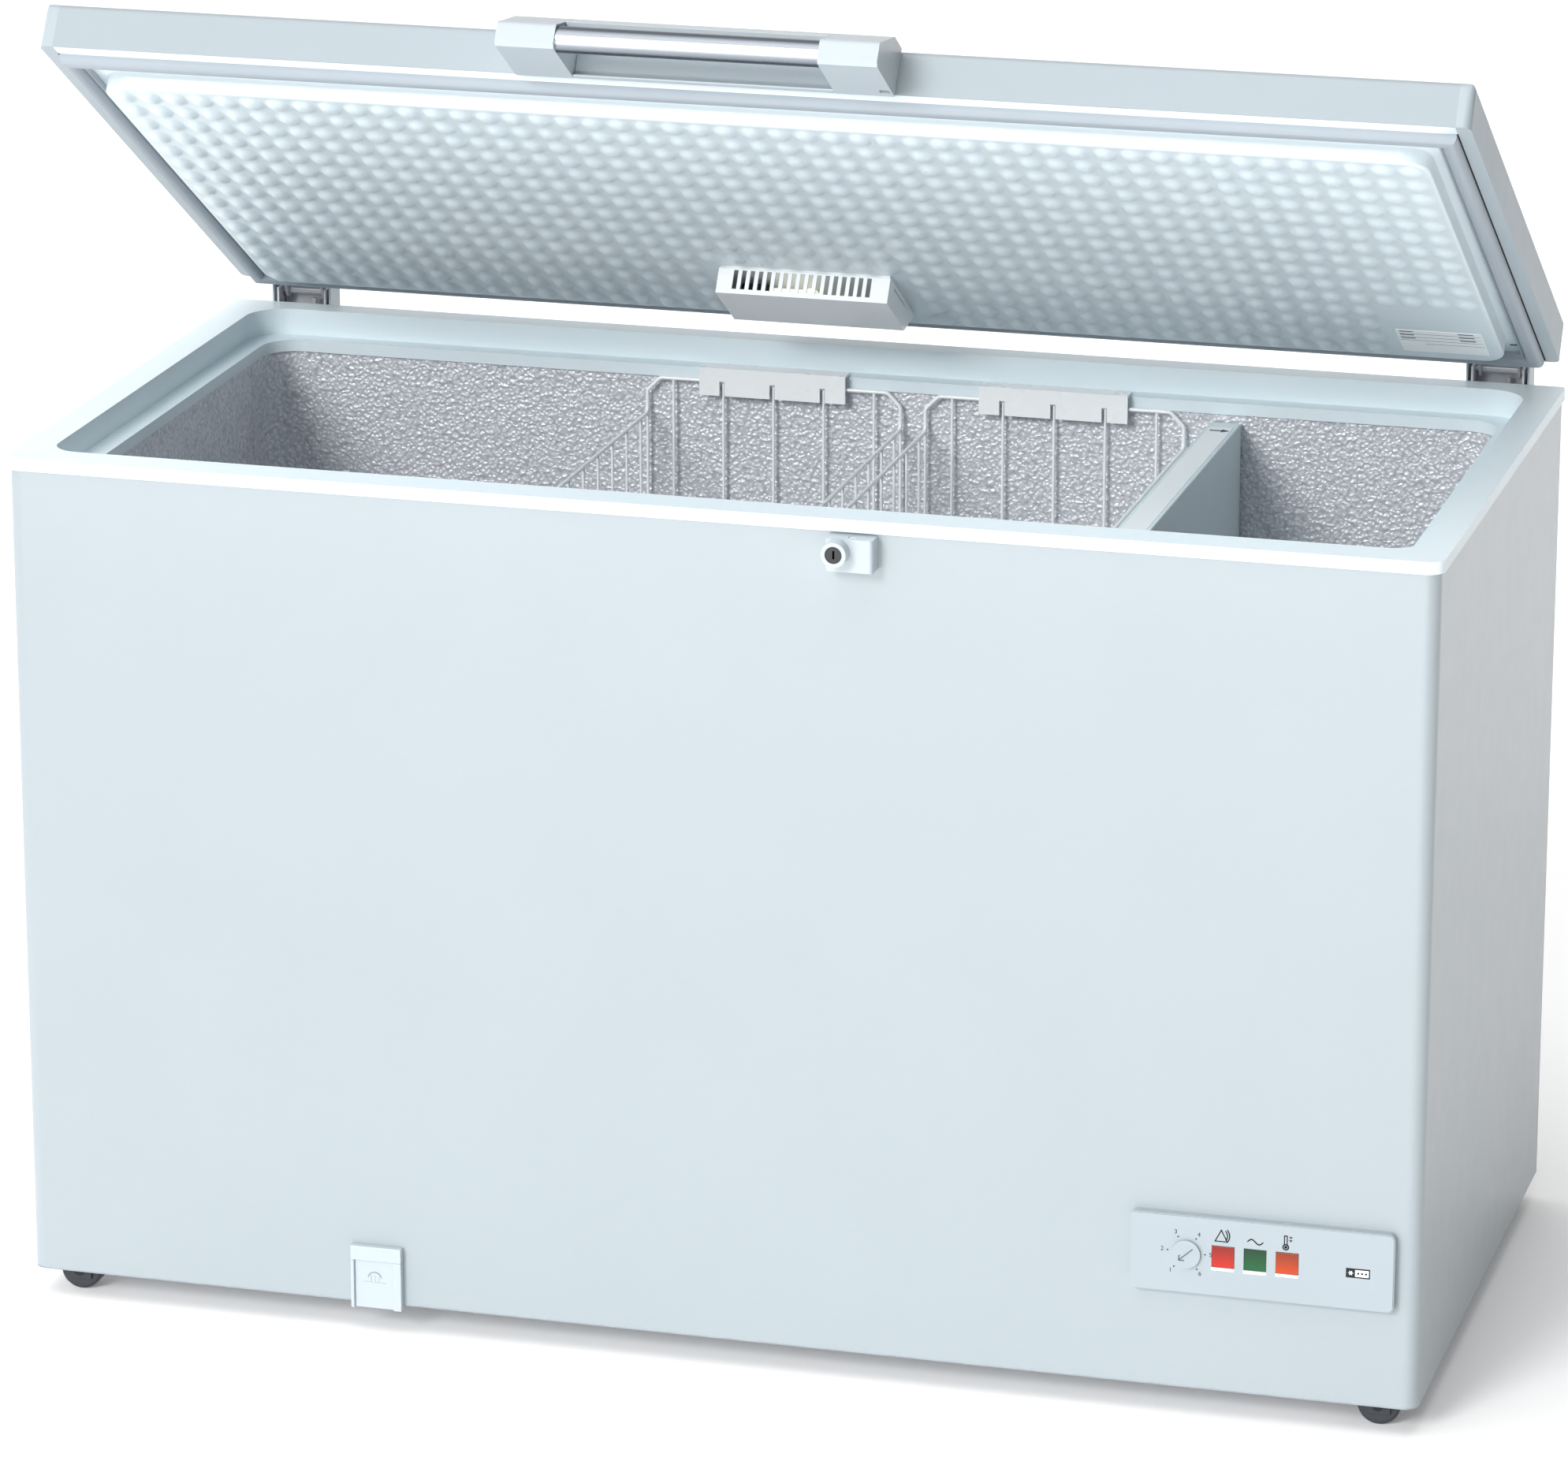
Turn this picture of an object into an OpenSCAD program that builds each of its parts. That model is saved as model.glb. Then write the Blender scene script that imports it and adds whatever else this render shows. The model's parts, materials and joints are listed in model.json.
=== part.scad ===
// Chest freezer with a hinged lid, millimetres, +Z up, front towards -Y, floor at Z = 0.
// The lid is drawn open at lid_angle; the castors stand on the floor.

/* [Cabinet] */
// Width of the top frame
rim_w = 1400; // [1380:5:1450]
// Depth of the top frame, front to back
rim_d = 672; // [668:2:700]
// Height of the top frame above the floor
rim_h = 860; // [850:5:900]
// Gap under the cabinet
body_gap = 28; // [26:1:32]
// How far the top frame stands out past the sheet metal
overhang = 3; // [3:1:5]
// Radius of the upright front corners
corner_r = 14; // [10:1:18]
// Thickness of the sheet steel and of the aluminium
sheet_t = 1; // [0.8:0.1:1.2]

/* [Top frame] */
// Width of the flat land at the front
land_front = 39; // [36:1:42]
// Width of the flat land at the ends
land_side = 32; // [30:1:36]
// Width of the flat land at the back
land_rear = 28; // [26:1:32]
// Drop from the land to the ledge
ledge_drop = 27; // [24:1:30]
// Width of the ledge the baskets hang from
ledge_w = 22; // [20:1:26]
// Wall thickness of the plastic frame
frame_t = 2.5; // [2:0.5:3]

/* [Tub] */
// Height of the tub floor
tub_floor = 92; // [85:1:110]
// Where the step over the machine compartment begins
step_x = 346; // [340:1:348]
// Height of that step
step_h = 372; // [366:1:380]

/* [Lid] */
// Angle at which the lid is drawn open
lid_angle = 32.5; // [20:0.5:40]
// Width of the lid
lid_w = 1388; // [1384:2:1390]
// Depth of the lid
lid_d = 659; // [656:1:660]
// Thickness of the lid's edge
lid_t = 45; // [42:1:50]
// Gap between the closed lid and the top frame, which the seal fills
lid_gap = 11; // [11:0.5:14]
// Width of the moulded end caps
cap_w = 14; // [12:1:16]
// How far the inner liner stands below the lid's edge
tray_drop = 18; // [16:1:20]

/* [Handle] */
// Middle of the handle, measured from the middle of the lid
handle_x = -30; // [-31:1:-28]
// Overall width of the handle
handle_w = 368; // [366:2:372]
// Width of each end block
block_w = 57; // [50:1:60]
// How far the handle stands out
handle_reach = 80; // [70:1:85]
// Diameter of the round bar
bar_d = 25; // [20:1:26]

/* [Controls] */
// Left edge of the control panel
panel_x = 420; // [418:1:422]
// Bottom edge of the control panel
panel_z = 128; // [120:1:140]
// Width of the control panel
panel_w = 254; // [250:1:256]
// Height of the control panel
panel_h = 78; // [74:1:82]
// Size of each square button
button_s = 22; // [20:0.5:23]
// Distance between the buttons
button_pitch = 30.8; // [30:0.1:32]

/* [Baskets] */
// Width of each basket
basket_w = 268; // [264:1:270]
// Middle of the left basket
basket_l = -104; // [-108:1:-102]
// Middle of the right basket
basket_r = 190; // [188:1:192]
// Height of the basket floor
basket_floor = 600; // [560:5:640]
// Wire diameter
wire_d = 4; // [3.5:0.1:4.2]

/* [Hidden] */
$fn = 48;

// Clearance between curved faces that must not touch
gap = 0.3;
// Radial clearance of a running fit
run_fit = 0.06;

// Plan extents of the top frame, the sheet metal and the recesses: [x, y front, y back]
rim = [rim_w / 2, -rim_d / 2, rim_d / 2];
body = [rim[0] - overhang, rim[1] + overhang, rim[2] - overhang];
recess = [rim[0] - land_side, rim[1] + land_front, rim[2] - land_rear];
mouth = [recess[0] - ledge_w, recess[1] + ledge_w, recess[2] - ledge_w];
tub = [mouth[0] + frame_t, mouth[1] - frame_t, mouth[2] + frame_t];
recess_rf = 28;
recess_rr = 40;
mouth_rf = 24;
mouth_rr = 34;
lip_low = 12;
base_t = 1.5;
base_top = body_gap + base_t;
ledge_z = rim_h - ledge_drop;
lip_z = ledge_z - lip_low;
tub_top = ledge_z - frame_t - gap;

// Machine compartment at the right end
bay_x = step_x + 52;
bay_top = step_h - 62;
coil_gap = 9;
coil_z = [490, 560, 630, 700, 770];
coil_r = 3.8;
cond_gap = 8;
cond_r = 2.6;
cond_z0 = 180;
cond_pitch = 56;
cond_n = 10;
cond_x = [-560, 300];

// Drain
drain_x = -335;
drain_y = -250;
drain_z = 60;
drain_ro = 10;
drain_ri = 7;
cover_w = 52;
cover_z = [24, 89];

// Castors
wheel_r = 21;
wheel_w = 28;
axle_r = 3;
wheel_x = 656;
wheel_y = [-295, 296];
pocket = [27, 24, 47];

// Hinges
hinge_x = 631;
hinge_y = rim[2] + 18;
hinge_z = rim_h + 8;
pin_r = 3;
cover_depth = 31;
cover_half = 32;

// Lid, drawn closed and then turned open: [half width, y front, y back, z bottom, z top]
lid_x = lid_w / 2;
lid_y0 = rim[1] + 3;
lid_y1 = lid_y0 + lid_d;
lid_z0 = rim_h + lid_gap;
lid_z1 = lid_z0 + lid_t;
lid_edge_r = 8;
skin_x = lid_x - cap_w;
flange_t = 2;
tray = [648, lid_y0 + 56, lid_y1 - 42];
tray_z = lid_z0 - tray_drop;
tray_r = 24;

// Lamp
lamp_x = [-127, 50];
lamp_y = [137, 252];
lamp_h = 29;
lamp_wall = 2;
lamp_slots = 17;
lamp_slot_pitch = 8.6;
lamp_slot_w = 4.6;
lamp_slope = 33;
bulb_y = 178;
bulb_z = tray_z - 15;
bulb_r = 8;
socket_r = 11;
socket_x = [-110, -80];
bulb_end = -40;

// Rating label
label_x = [548, 634];
label_y = [lid_y1 - 126, lid_y1 - 62];
label_t = 0.3;

// Control panel
panel_t = 10;
panel_y = body[1] - panel_t;
knob_x = panel_x + 54.5;
control_z = panel_z + 40;
button_x = panel_x + 90;
knob_r = 14;
stem_s = 6;

// Lock
lock_x = [122, 168];
lock_z = [814, 845.8];
lock_t = 20;
key_x = 134;
key_z = 833.5;
bolt_x = [143.6, 150.4];
bolt_fit = 0.4;
bolt_room = 1.5;
bolt_y = [14.5, 8.5];
key_r = 8.2;
boss_r = 12;
boss_t = 14;

// Baskets
wire_r = wire_d / 2;
wire_y = [mouth[1] + 5, mouth[2] - 5];
wire_top = lip_z;
side_z = wire_top - 38;
pitch_x = 53;
pitch_y = 50;
wire_sides = 8;
wire_over = 0.43;
rim_slope = 14;
clip_w = 154;

// A rounded rectangle in plan with its own front and back corner radii
module plan(x0, x1, y0, y1, rf, rr) {
    union() {
        translate([x0 + rf, y0]) square([x1 - x0 - 2 * rf, rf + 0.01]);
        translate([x0, y0 + rf]) square([x1 - x0, y1 - y0 - rf - rr]);
        if (rr > 0) {
            translate([x0 + rr, y1 - rr - 0.01]) square([x1 - x0 - 2 * rr, rr + 0.01]);
            for (x = [x0 + rr, x1 - rr]) translate([x, y1 - rr]) circle(r = rr);
        }
        for (x = [x0 + rf, x1 - rf]) translate([x, y0 + rf]) circle(r = rf);
    }
}

// A plan drawn from [half width, front, back], grown by e, from height z0 to z1
module ring_solid(p, e, z0, z1, rf, rr) {
    translate([0, 0, z0])
        linear_extrude(z1 - z0)
            plan(-p[0] - e, p[0] + e, p[1] - e, p[2] + e, rf + e, rr > 0 ? rr + e : 0);
}

// A block from one corner to the other
module block(a, b) {
    translate(a) cube([b[0] - a[0], b[1] - a[1], b[2] - a[2]]);
}

// A 2D shape of (y, z) drawn along X from x0 to x1
module along_x(x0, x1) {
    translate([x0, 0, 0]) rotate([90, 0, 90]) linear_extrude(x1 - x0) children();
}

// A cylinder along Y from y0 to y1
module rod_y(x, z, r, y0, y1) {
    translate([x, y0, z]) rotate([-90, 0, 0]) cylinder(h = y1 - y0, r = r);
}

// A cylinder along X from x0 to x1
module rod_x(y, z, r, x0, x1) {
    translate([x0, y, z]) rotate([0, 90, 0]) cylinder(h = x1 - x0, r = r);
}

// Turns its children, drawn closed, to the open lid
module lid_pose() {
    translate([0, hinge_y, hinge_z])
        rotate([-lid_angle, 0, 0])
            translate([0, -hinge_y, -hinge_z]) children();
}

// ---- Cabinet ----

module outer_shell() {
    color("#dde9f0") difference() {
        ring_solid(body, 0, base_top, rim_h - frame_t - 1, corner_r, 0);
        ring_solid([body[0], body[1], body[2] + 2], -sheet_t, base_top - 1, rim_h, corner_r, 0);
        block([panel_x + 16, body[1] - 5, control_z - 16], [panel_x + 180, body[1] + 5, control_z + 16]);
        rod_y(drain_x, drain_z, drain_ro + gap, body[1] - 5, body[1] + 5);
    }
}

module back_panel() {
    color("#c9cdd0") difference() {
        block([-body[0] + sheet_t, body[2] - sheet_t, base_top],
            [body[0] - sheet_t, body[2], tub_top + 20]);
        block([bay_x, body[2] - 5, base_top - 1], [body[0] + 1, body[2] + 5, bay_top]);
    }
}

module pocket_block(x, y, z0, z1) {
    block([x - pocket[0], y - pocket[1], z0], [x + pocket[0], y + pocket[1], z1]);
}

module base_plate() {
    color("#b9bec2") difference() {
        ring_solid(body, 0, body_gap, base_top, corner_r, 0);
        for (x = [-wheel_x, wheel_x]) {
            for (y = wheel_y) pocket_block(x, y, body_gap - 1, base_top + 1);
        }
        for (i = [0:6]) {
            block([bay_x + 40 + i * 30, -120, body_gap - 1], [bay_x + 52 + i * 30, -20, base_top + 1]);
        }
    }
}

// Space inside the tub, grown by e on every wall
module tub_space(e, z1) {
    difference() {
        ring_solid(tub, e, tub_floor - e, z1, mouth_rf + frame_t, mouth_rr + frame_t);
        block([step_x + e, rim[1], 0], [rim[0], rim[2], step_h - e]);
    }
}

module foam_insulation() {
    color("#e8dcae") difference() {
        union() {
            ring_solid([body[0] - sheet_t, body[1] + sheet_t, body[2] - sheet_t], 0, base_top, tub_top,
                corner_r - sheet_t, 0);
            difference() {
                ring_solid([body[0] - 2, body[1] + 2, body[2] - 2], 0, tub_top, rim_h - frame_t - 1,
                    corner_r - 2, 0);
                ring_solid(recess, frame_t + gap, tub_top - 1, rim_h, recess_rf, recess_rr);
            }
        }
        tub_space(sheet_t, rim_h);
        ring_solid(tub, sheet_t + coil_gap, coil_z[0] - 12, coil_z[4] + 12, mouth_rf + frame_t,
            mouth_rr + frame_t);
        block([bay_x, rim[1], 0], [rim[0], rim[2], bay_top]);
        block([cond_x[0] - 50, body[2] - sheet_t - cond_gap, cond_z0 - 20],
            [cond_x[1] + 50, rim[2], cond_z0 + cond_n * cond_pitch]);
        for (y = wheel_y) pocket_block(-wheel_x, y, 0, pocket[2]);
        translate([drain_x, drain_y, drain_z]) {
            cylinder(h = 60, r = drain_ro + gap);
            sphere(r = drain_ro + gap);
        }
        rod_y(drain_x, drain_z, drain_ro + gap, rim[1], drain_y);
    }
}

module tub_liner() {
    color("#b8bcc4") difference() {
        tub_space(sheet_t, tub_top - gap);
        tub_space(0, rim_h);
        translate([drain_x, drain_y, tub_floor - 5]) cylinder(h = 10, r = drain_ro + gap);
    }
}

module top_frame() {
    color("#e6f0f5") difference() {
        union() {
            ring_solid(rim, 0, rim_h - frame_t, rim_h, corner_r + 2, 5);
            difference() {
                ring_solid(rim, 0, rim_h - 12, rim_h - 1, corner_r + 2, 5);
                ring_solid(body, 0, rim_h - 13, rim_h, corner_r, 0);
            }
            ring_solid(recess, frame_t, ledge_z - frame_t, rim_h - 1, recess_rf, recess_rr);
            ring_solid(mouth, frame_t - 0.05, lip_z, ledge_z, mouth_rf, mouth_rr);
        }
        ring_solid(recess, 0, ledge_z, rim_h + 1, recess_rf, recess_rr);
        ring_solid(mouth, 0, lip_z - 1, rim_h, mouth_rf, mouth_rr);
    }
}

// ---- Machine compartment ----

comp = [548, 150];
comp_r = 74;
comp_z = [60, 165];
dome_r = 30;
feet_x = 92;
feet_y = 62;

module compressor() {
    color("#1f2022") {
        translate([comp[0], comp[1], 0]) {
            translate([0, 0, comp_z[0]]) cylinder(h = comp_z[1] - comp_z[0], r = comp_r);
            translate([0, 0, comp_z[1] - 1]) cylinder(h = dome_r + 1, r = comp_r - dome_r);
            translate([0, 0, comp_z[1]])
                rotate_extrude()
                    intersection() {
                        translate([comp_r - dome_r, 0]) circle(r = dome_r);
                        square([comp_r, dome_r]);
                    }
        }
        block([comp[0] - feet_x - 16, comp[1] - feet_y - 16, comp_z[0] - 3],
            [comp[0] + feet_x + 16, comp[1] + feet_y + 16, comp_z[0]]);
    }
}

module compressor_feet() {
    color("#2c2c2e")
        for (x = [-feet_x, feet_x]) {
            for (y = [-feet_y, feet_y])
                translate([comp[0] + x, comp[1] + y, base_top + 3]) {
                    cylinder(h = 8, r = 13);
                    cylinder(h = comp_z[0] - 3 - base_top - 3, r = 9);
                }
        }
}

module compressor_tray() {
    color("#a8adb2")
        block([bay_x + 20, 30, base_top], [body[0] - 20, wheel_y[1] - pocket[1] - 6, base_top + 3]);
}

module start_relay() {
    color("#303236") {
        block([comp[0] - 24, comp[1] - comp_r - 30, 92], [comp[0] + 24, comp[1] - comp_r - 1, 142]);
        block([comp[0] - 12, comp[1] - comp_r - 44, 104], [comp[0] + 12, comp[1] - comp_r - 29, 130]);
    }
}

drier_x = bay_x + 34;
drier_y = 262;

module filter_drier() {
    color("#b87333") translate([drier_x, drier_y, 84]) {
        cylinder(h = 76, r = 9);
        translate([0, 0, -14]) cylinder(h = 15, r = 4);
        translate([0, 0, 75]) cylinder(h = 15, r = 4);
    }
}

// Straight copper pipe of radius r between two points that differ along one axis, with round ends
module pipe(a, b, r) {
    translate(a) sphere(r = r);
    translate(b) sphere(r = r);
    d = b - a;
    if (d[0] != 0) rod_x(a[1], a[2], r, min(a[0], b[0]), max(a[0], b[0]));
    if (d[1] != 0) rod_y(a[0], a[2], r, min(a[1], b[1]), max(a[1], b[1]));
    if (d[2] != 0) translate([a[0], a[1], min(a[2], b[2])]) cylinder(h = abs(d[2]), r = r);
}

module run(points, r) {
    for (i = [0:len(points) - 2]) pipe(points[i], points[i + 1], r);
}

module refrigerant_pipes() {
    pipe_r = 3.5;
    out_y = comp[1] + comp_r + 5;
    color("#c07f45") {
        run([[comp[0], out_y, 130], [comp[0], 284, 130], [drier_x, 284, 130], [drier_x, 284, 182],
            [drier_x, drier_y, 182], [drier_x, drier_y, 180]], pipe_r);
        run([[comp[0] - comp_r - 5, comp[1], 120], [bay_x + 5, comp[1], 120], [bay_x + 5, comp[1], 270]],
            pipe_r);
    }
}

// One loop of tube round the tub at height z
module coil_loop(z) {
    c = sheet_t + coil_r + gap;
    rf = mouth_rf + frame_t + c;
    rr = mouth_rr + frame_t + c;
    x = tub[0] + c;
    y0 = tub[1] - c;
    y1 = tub[2] + c;
    rod_x(y0, z, coil_r, -x + rf, x - rf);
    rod_x(y1, z, coil_r, -x + rr, x - rr);
    for (s = [-x, x]) rod_y(s, z, coil_r, y0 + rf, y1 - rr);
    for (k = [0:1]) {
        mirror([k, 0, 0]) {
            translate([-x + rf, y0 + rf, z])
                rotate([0, 0, 180]) rotate_extrude(angle = 90) translate([rf, 0]) circle(r = coil_r);
            translate([-x + rr, y1 - rr, z])
                rotate([0, 0, 90]) rotate_extrude(angle = 90) translate([rr, 0]) circle(r = coil_r);
        }
    }
}

module evaporator_coil() {
    color("#b06f3a") {
        for (z = coil_z) coil_loop(z);
        for (i = [0:3])
            translate([-200 + 60 * i, tub[2] + sheet_t + coil_r + gap, coil_z[i]])
                cylinder(h = coil_z[i + 1] - coil_z[i], r = coil_r - 0.6);
    }
}

module condenser_coil() {
    y = body[2] - sheet_t - cond_gap / 2;
    color("#23262a")
        for (i = [0:cond_n - 1]) {
            z = cond_z0 + i * cond_pitch;
            end = i % 2 == 0 ? cond_x[1] : cond_x[0];
            rod_x(y, z, cond_r, cond_x[0], cond_x[1]);
            if (i < cond_n - 1)
                translate([end, y, z + cond_pitch / 2])
                    rotate([90, i % 2 == 0 ? 90 : -90, 0])
                        rotate_extrude(angle = 180) translate([cond_pitch / 2, 0]) circle(r = cond_r);
        }
}

module rear_grille() {
    color("#3b3e42") difference() {
        block([bay_x + 0.5, body[2] - sheet_t, base_top],
            [body[0] - sheet_t, body[2] + 0.5, bay_top - 0.5]);
        for (i = [0:13]) {
            for (x = [bay_x + 30, bay_x + 160])
                block([x, rim[1], 96 + i * 14], [x + 108, rim[2] + 5, 102 + i * 14]);
        }
        rod_y(bay_x + 40, 60, 7, 0, rim[2] + 5);
    }
}

module power_inlet() {
    color("#202124") difference() {
        union() {
            rod_y(bay_x + 40, 60, 11, body[2] + 0.5, body[2] + 5);
            rod_y(bay_x + 40, 60, 7 - run_fit, body[2] - 8, body[2] + 1);
        }
        rod_y(bay_x + 40, 60, 3.8, 0, rim[2] + 10);
    }
}

// ---- Controls ----

module thermostat() {
    color("#d8d8d4") difference() {
        union() {
            block([knob_x - 20, body[1] + 8, control_z - 22], [knob_x + 20, body[1] + 42, control_z + 22]);
            rod_y(knob_x, control_z, 7, body[1] + 1.5, body[1] + 9);
        }
        rod_y(knob_x, control_z, axle_r + run_fit, 2 * rim[1], body[1] + 24);
    }
}

module switch_block() {
    s = stem_s / 2 + 0.4;
    color("#e9e9e6") difference() {
        block([button_x - 14, body[1] + 9, control_z - 14],
            [button_x + 2 * button_pitch + 14, body[1] + 36, control_z + 14]);
        for (i = [0, 2]) {
            x = button_x + i * button_pitch;
            block([x - s, body[1], control_z - s], [x + s, body[1] + 30, control_z + s]);
        }
    }
}

module panel_outline(e) {
    plan(panel_x + e, panel_x + panel_w - e, panel_z + e, panel_z + panel_h - e, 6 - e, 6 - e);
}

module along_y(y0, y1) {
    translate([0, y1, 0]) rotate([90, 0, 0]) linear_extrude(y1 - y0) children();
}

module control_fascia() {
    h = button_s / 2;
    color("#dfe9ef") difference() {
        union() {
            along_y(panel_y, panel_y + 1) panel_outline(1);
            along_y(panel_y + 1, body[1]) panel_outline(0);
        }
        along_y(panel_y + 3.5, body[1] + 1) panel_outline(2.5);
        rod_y(knob_x, control_z, axle_r + 0.6, panel_y - 1, body[1]);
        for (i = [0:2]) {
            x = button_x + i * button_pitch;
            block([x - h, panel_y - 1, control_z - h], [x + h, body[1], control_z + h]);
        }
    }
}

module power_lens() {
    h = button_s / 2;
    x = button_x + button_pitch;
    color("#0a7a3c") block([x - h, panel_y + 0.8, control_z - h], [x + h, panel_y + 5, control_z + h]);
}

module push_button(i) {
    h = button_s / 2 - 0.3;
    s = stem_s / 2;
    x = button_x + i * button_pitch;
    block([x - h, panel_y - 0.5, control_z - h], [x + h, panel_y + 5, control_z + h]);
    block([x - s, panel_y + 4, control_z - s], [x + s, body[1] + 20, control_z + s]);
}

module alarm_button() {
    color("#d8452a") push_button(0);
}

module fast_freeze_button() {
    color("#d8702a") push_button(2);
}

module control_knob() {
    color("#dde7ed") {
        rod_y(knob_x, control_z, knob_r, panel_y - 3.3, panel_y - gap);
        rod_y(knob_x, control_z, axle_r, panel_y - 1, body[1] + 23);
    }
}

// ---- Lock and drain ----

module lock_housing() {
    color("#e4eef3") difference() {
        union() {
            translate([0, 0, lock_z[0]])
                linear_extrude(lock_z[1] - lock_z[0])
                    plan(lock_x[0], lock_x[1], body[1] - lock_t, body[1], 4, 0);
            rod_y(key_x, key_z, boss_r, body[1] - lock_t - boss_t, body[1] - lock_t + 1);
        }
        rod_y(key_x, key_z, key_r + run_fit, 2 * rim[1], body[1] - 6);
        block([bolt_x[0] - bolt_fit, body[1] - bolt_y[0] - bolt_fit, lock_z[0] + 1.5],
            [bolt_x[1] + bolt_fit, body[1] - bolt_y[1] + bolt_fit, rim_h]);
    }
}

module lock_cylinder() {
    color("#26282c") difference() {
        rod_y(key_x, key_z, key_r, body[1] - lock_t - boss_t + 1, body[1] - 7);
        block([key_x - 1, 2 * rim[1], key_z - 4], [key_x + 1, body[1] - lock_t - boss_t + 9, key_z + 4]);
    }
}

module lock_bolt() {
    color("#aeb2b6")
        block([bolt_x[0], body[1] - bolt_y[0], lock_z[0] + 1.8],
            [bolt_x[1], body[1] - bolt_y[1], lock_z[1] - bolt_fit]);
}

module drain_channel() {
    color("#c8ccd0") difference() {
        union() {
            translate([drain_x, drain_y, drain_z]) cylinder(h = tub_floor - drain_z, r = drain_ro);
            translate([drain_x, drain_y, drain_z]) sphere(r = drain_ro);
            rod_y(drain_x, drain_z, drain_ro, body[1] - 1, drain_y);
        }
        translate([drain_x, drain_y, drain_z]) cylinder(h = 60, r = drain_ri);
        translate([drain_x, drain_y, drain_z]) sphere(r = drain_ri);
        rod_y(drain_x, drain_z, drain_ri, rim[1] - 5, drain_y);
    }
}

module drain_plug() {
    color("#e8eef0") translate([drain_x, drain_y, tub_floor + gap]) {
        cylinder(h = 3, r = 13);
        translate([0, 0, -12]) cylinder(h = 13, r = drain_ri - 0.3);
        translate([0, 0, 2]) cylinder(h = 8, r = 4);
    }
}

module drain_cover() {
    x0 = drain_x - cover_w / 2;
    x1 = drain_x + cover_w / 2;
    y = body[1];
    z = cover_z;
    color("#e4eef3") difference() {
        union() {
            block([x0, y - 5, z[0]], [x1, y - 2, z[1]]);
            block([x0, y - 8, z[1] - 9], [x1, y, z[1]]);
            for (x = [x0, x1 - 3]) block([x, y - 7, z[0]], [x + 3, y, z[1]]);
        }
        block([x0 + 9, y - 9, z[0] + 10], [x1 - 9, y - 4.2, z[1] - 16]);
    }
}

// ---- Castors ----

module castor_brackets() {
    color("#9ba0a4")
        for (x = [-wheel_x, wheel_x]) {
            for (y = wheel_y)
                translate([x, y, 0]) difference() {
                    union() {
                        block([-25, -20, pocket[2] - 2], [25, 20, pocket[2]]);
                        for (s = [-17, 15]) block([-12, s, wheel_r - 9], [12, s + 2, pocket[2] - 1]);
                    }
                    rod_y(0, wheel_r, axle_r + 0.03, -30, 30);
                }
        }
}

module castor_axles() {
    color("#8d9194")
        for (x = [-wheel_x, wheel_x]) {
            for (y = wheel_y) {
                rod_y(x, wheel_r, axle_r, y - 18, y + 18);
                rod_y(x, wheel_r, axle_r + 2, y - 19.5, y - 17.2);
                rod_y(x, wheel_r, axle_r + 2, y + 17.2, y + 19.5);
            }
        }
}

module castor(x, y) {
    color("#4b5057") difference() {
        rod_y(x, wheel_r, wheel_r, y - wheel_w / 2, y + wheel_w / 2);
        rod_y(x, wheel_r, axle_r + run_fit, y - wheel_w, y + wheel_w);
    }
}

module castor_front_left() {
    castor(-wheel_x, wheel_y[0]);
}

module castor_front_right() {
    castor(wheel_x, wheel_y[0]);
}

module castor_rear_left() {
    castor(-wheel_x, wheel_y[1]);
}

module castor_rear_right() {
    castor(wheel_x, wheel_y[1]);
}

// ---- Hinges ----

hinge_low = 705;
hinge_back = rim[2] + cover_depth;

// Draws its children at both hinges
module at_hinges() {
    for (x = [-hinge_x, hinge_x]) translate([x, 0, 0]) children();
}

module hinge_covers() {
    color("#e2ecf2") at_hinges() difference() {
        union() {
            block([-cover_half, rim[2] + 0.5, hinge_low], [cover_half, hinge_back, hinge_z + 18]);
            block([-cover_half, body[2], hinge_low], [cover_half, rim[2] + 1, rim_h - 14]);
        }
        block([-cover_half + 2, 0, hinge_low + 2], [cover_half - 2, hinge_back - 2, rim_h + 60]);
        block([-cover_half - 1, hinge_back - 3, hinge_z + 8], [cover_half + 1, hinge_back + 1, rim_h + 60]);
    }
}

module hinge_bases() {
    color("#b5b8ba") at_hinges() difference() {
        union() {
            block([-27, hinge_back - 4.2, hinge_low + 6], [27, hinge_back - 2.2, hinge_z + 4]);
            for (x = [-27, 24.5]) {
                block([x, body[2], hinge_low + 6], [x + 2.5, hinge_back - 3, rim_h - 14]);
                block([x, rim[2] + 0.5, rim_h - 15], [x + 2.5, hinge_back - 3, hinge_z + 7]);
            }
            block([-27, body[2], hinge_low + 6], [27, body[2] + 2, rim_h - 60]);
        }
        rod_x(hinge_y, hinge_z, pin_r + 0.03, -40, 40);
    }
}

module hinge_pins() {
    color("#8d9194") at_hinges() {
        rod_x(hinge_y, hinge_z, pin_r, -28.5, 28.5);
    }
}

spring_x = -9;
rod_off = 9;
spring_z = [hinge_low + 20, hinge_z - 14];
spring_r = 7;
spring_wire = 1.6;

module hinge_springs() {
    turns = 14;
    pitch = (spring_z[1] - spring_z[0] - 2 * spring_wire) / turns;
    color("#6d7174") at_hinges() {
        for (i = [0:turns])
            translate([spring_x, hinge_y, spring_z[0] + spring_wire + i * pitch])
                rotate_extrude() translate([spring_r, 0]) circle(r = spring_wire);
        translate([spring_x, hinge_y, spring_z[0]])
            cylinder(h = spring_z[1] - spring_z[0], r = spring_r - spring_wire + 0.5);
        translate([rod_off, hinge_y, hinge_low + 8]) cylinder(h = hinge_z - 6 - hinge_low - 8, r = 2.5);
    }
}

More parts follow.
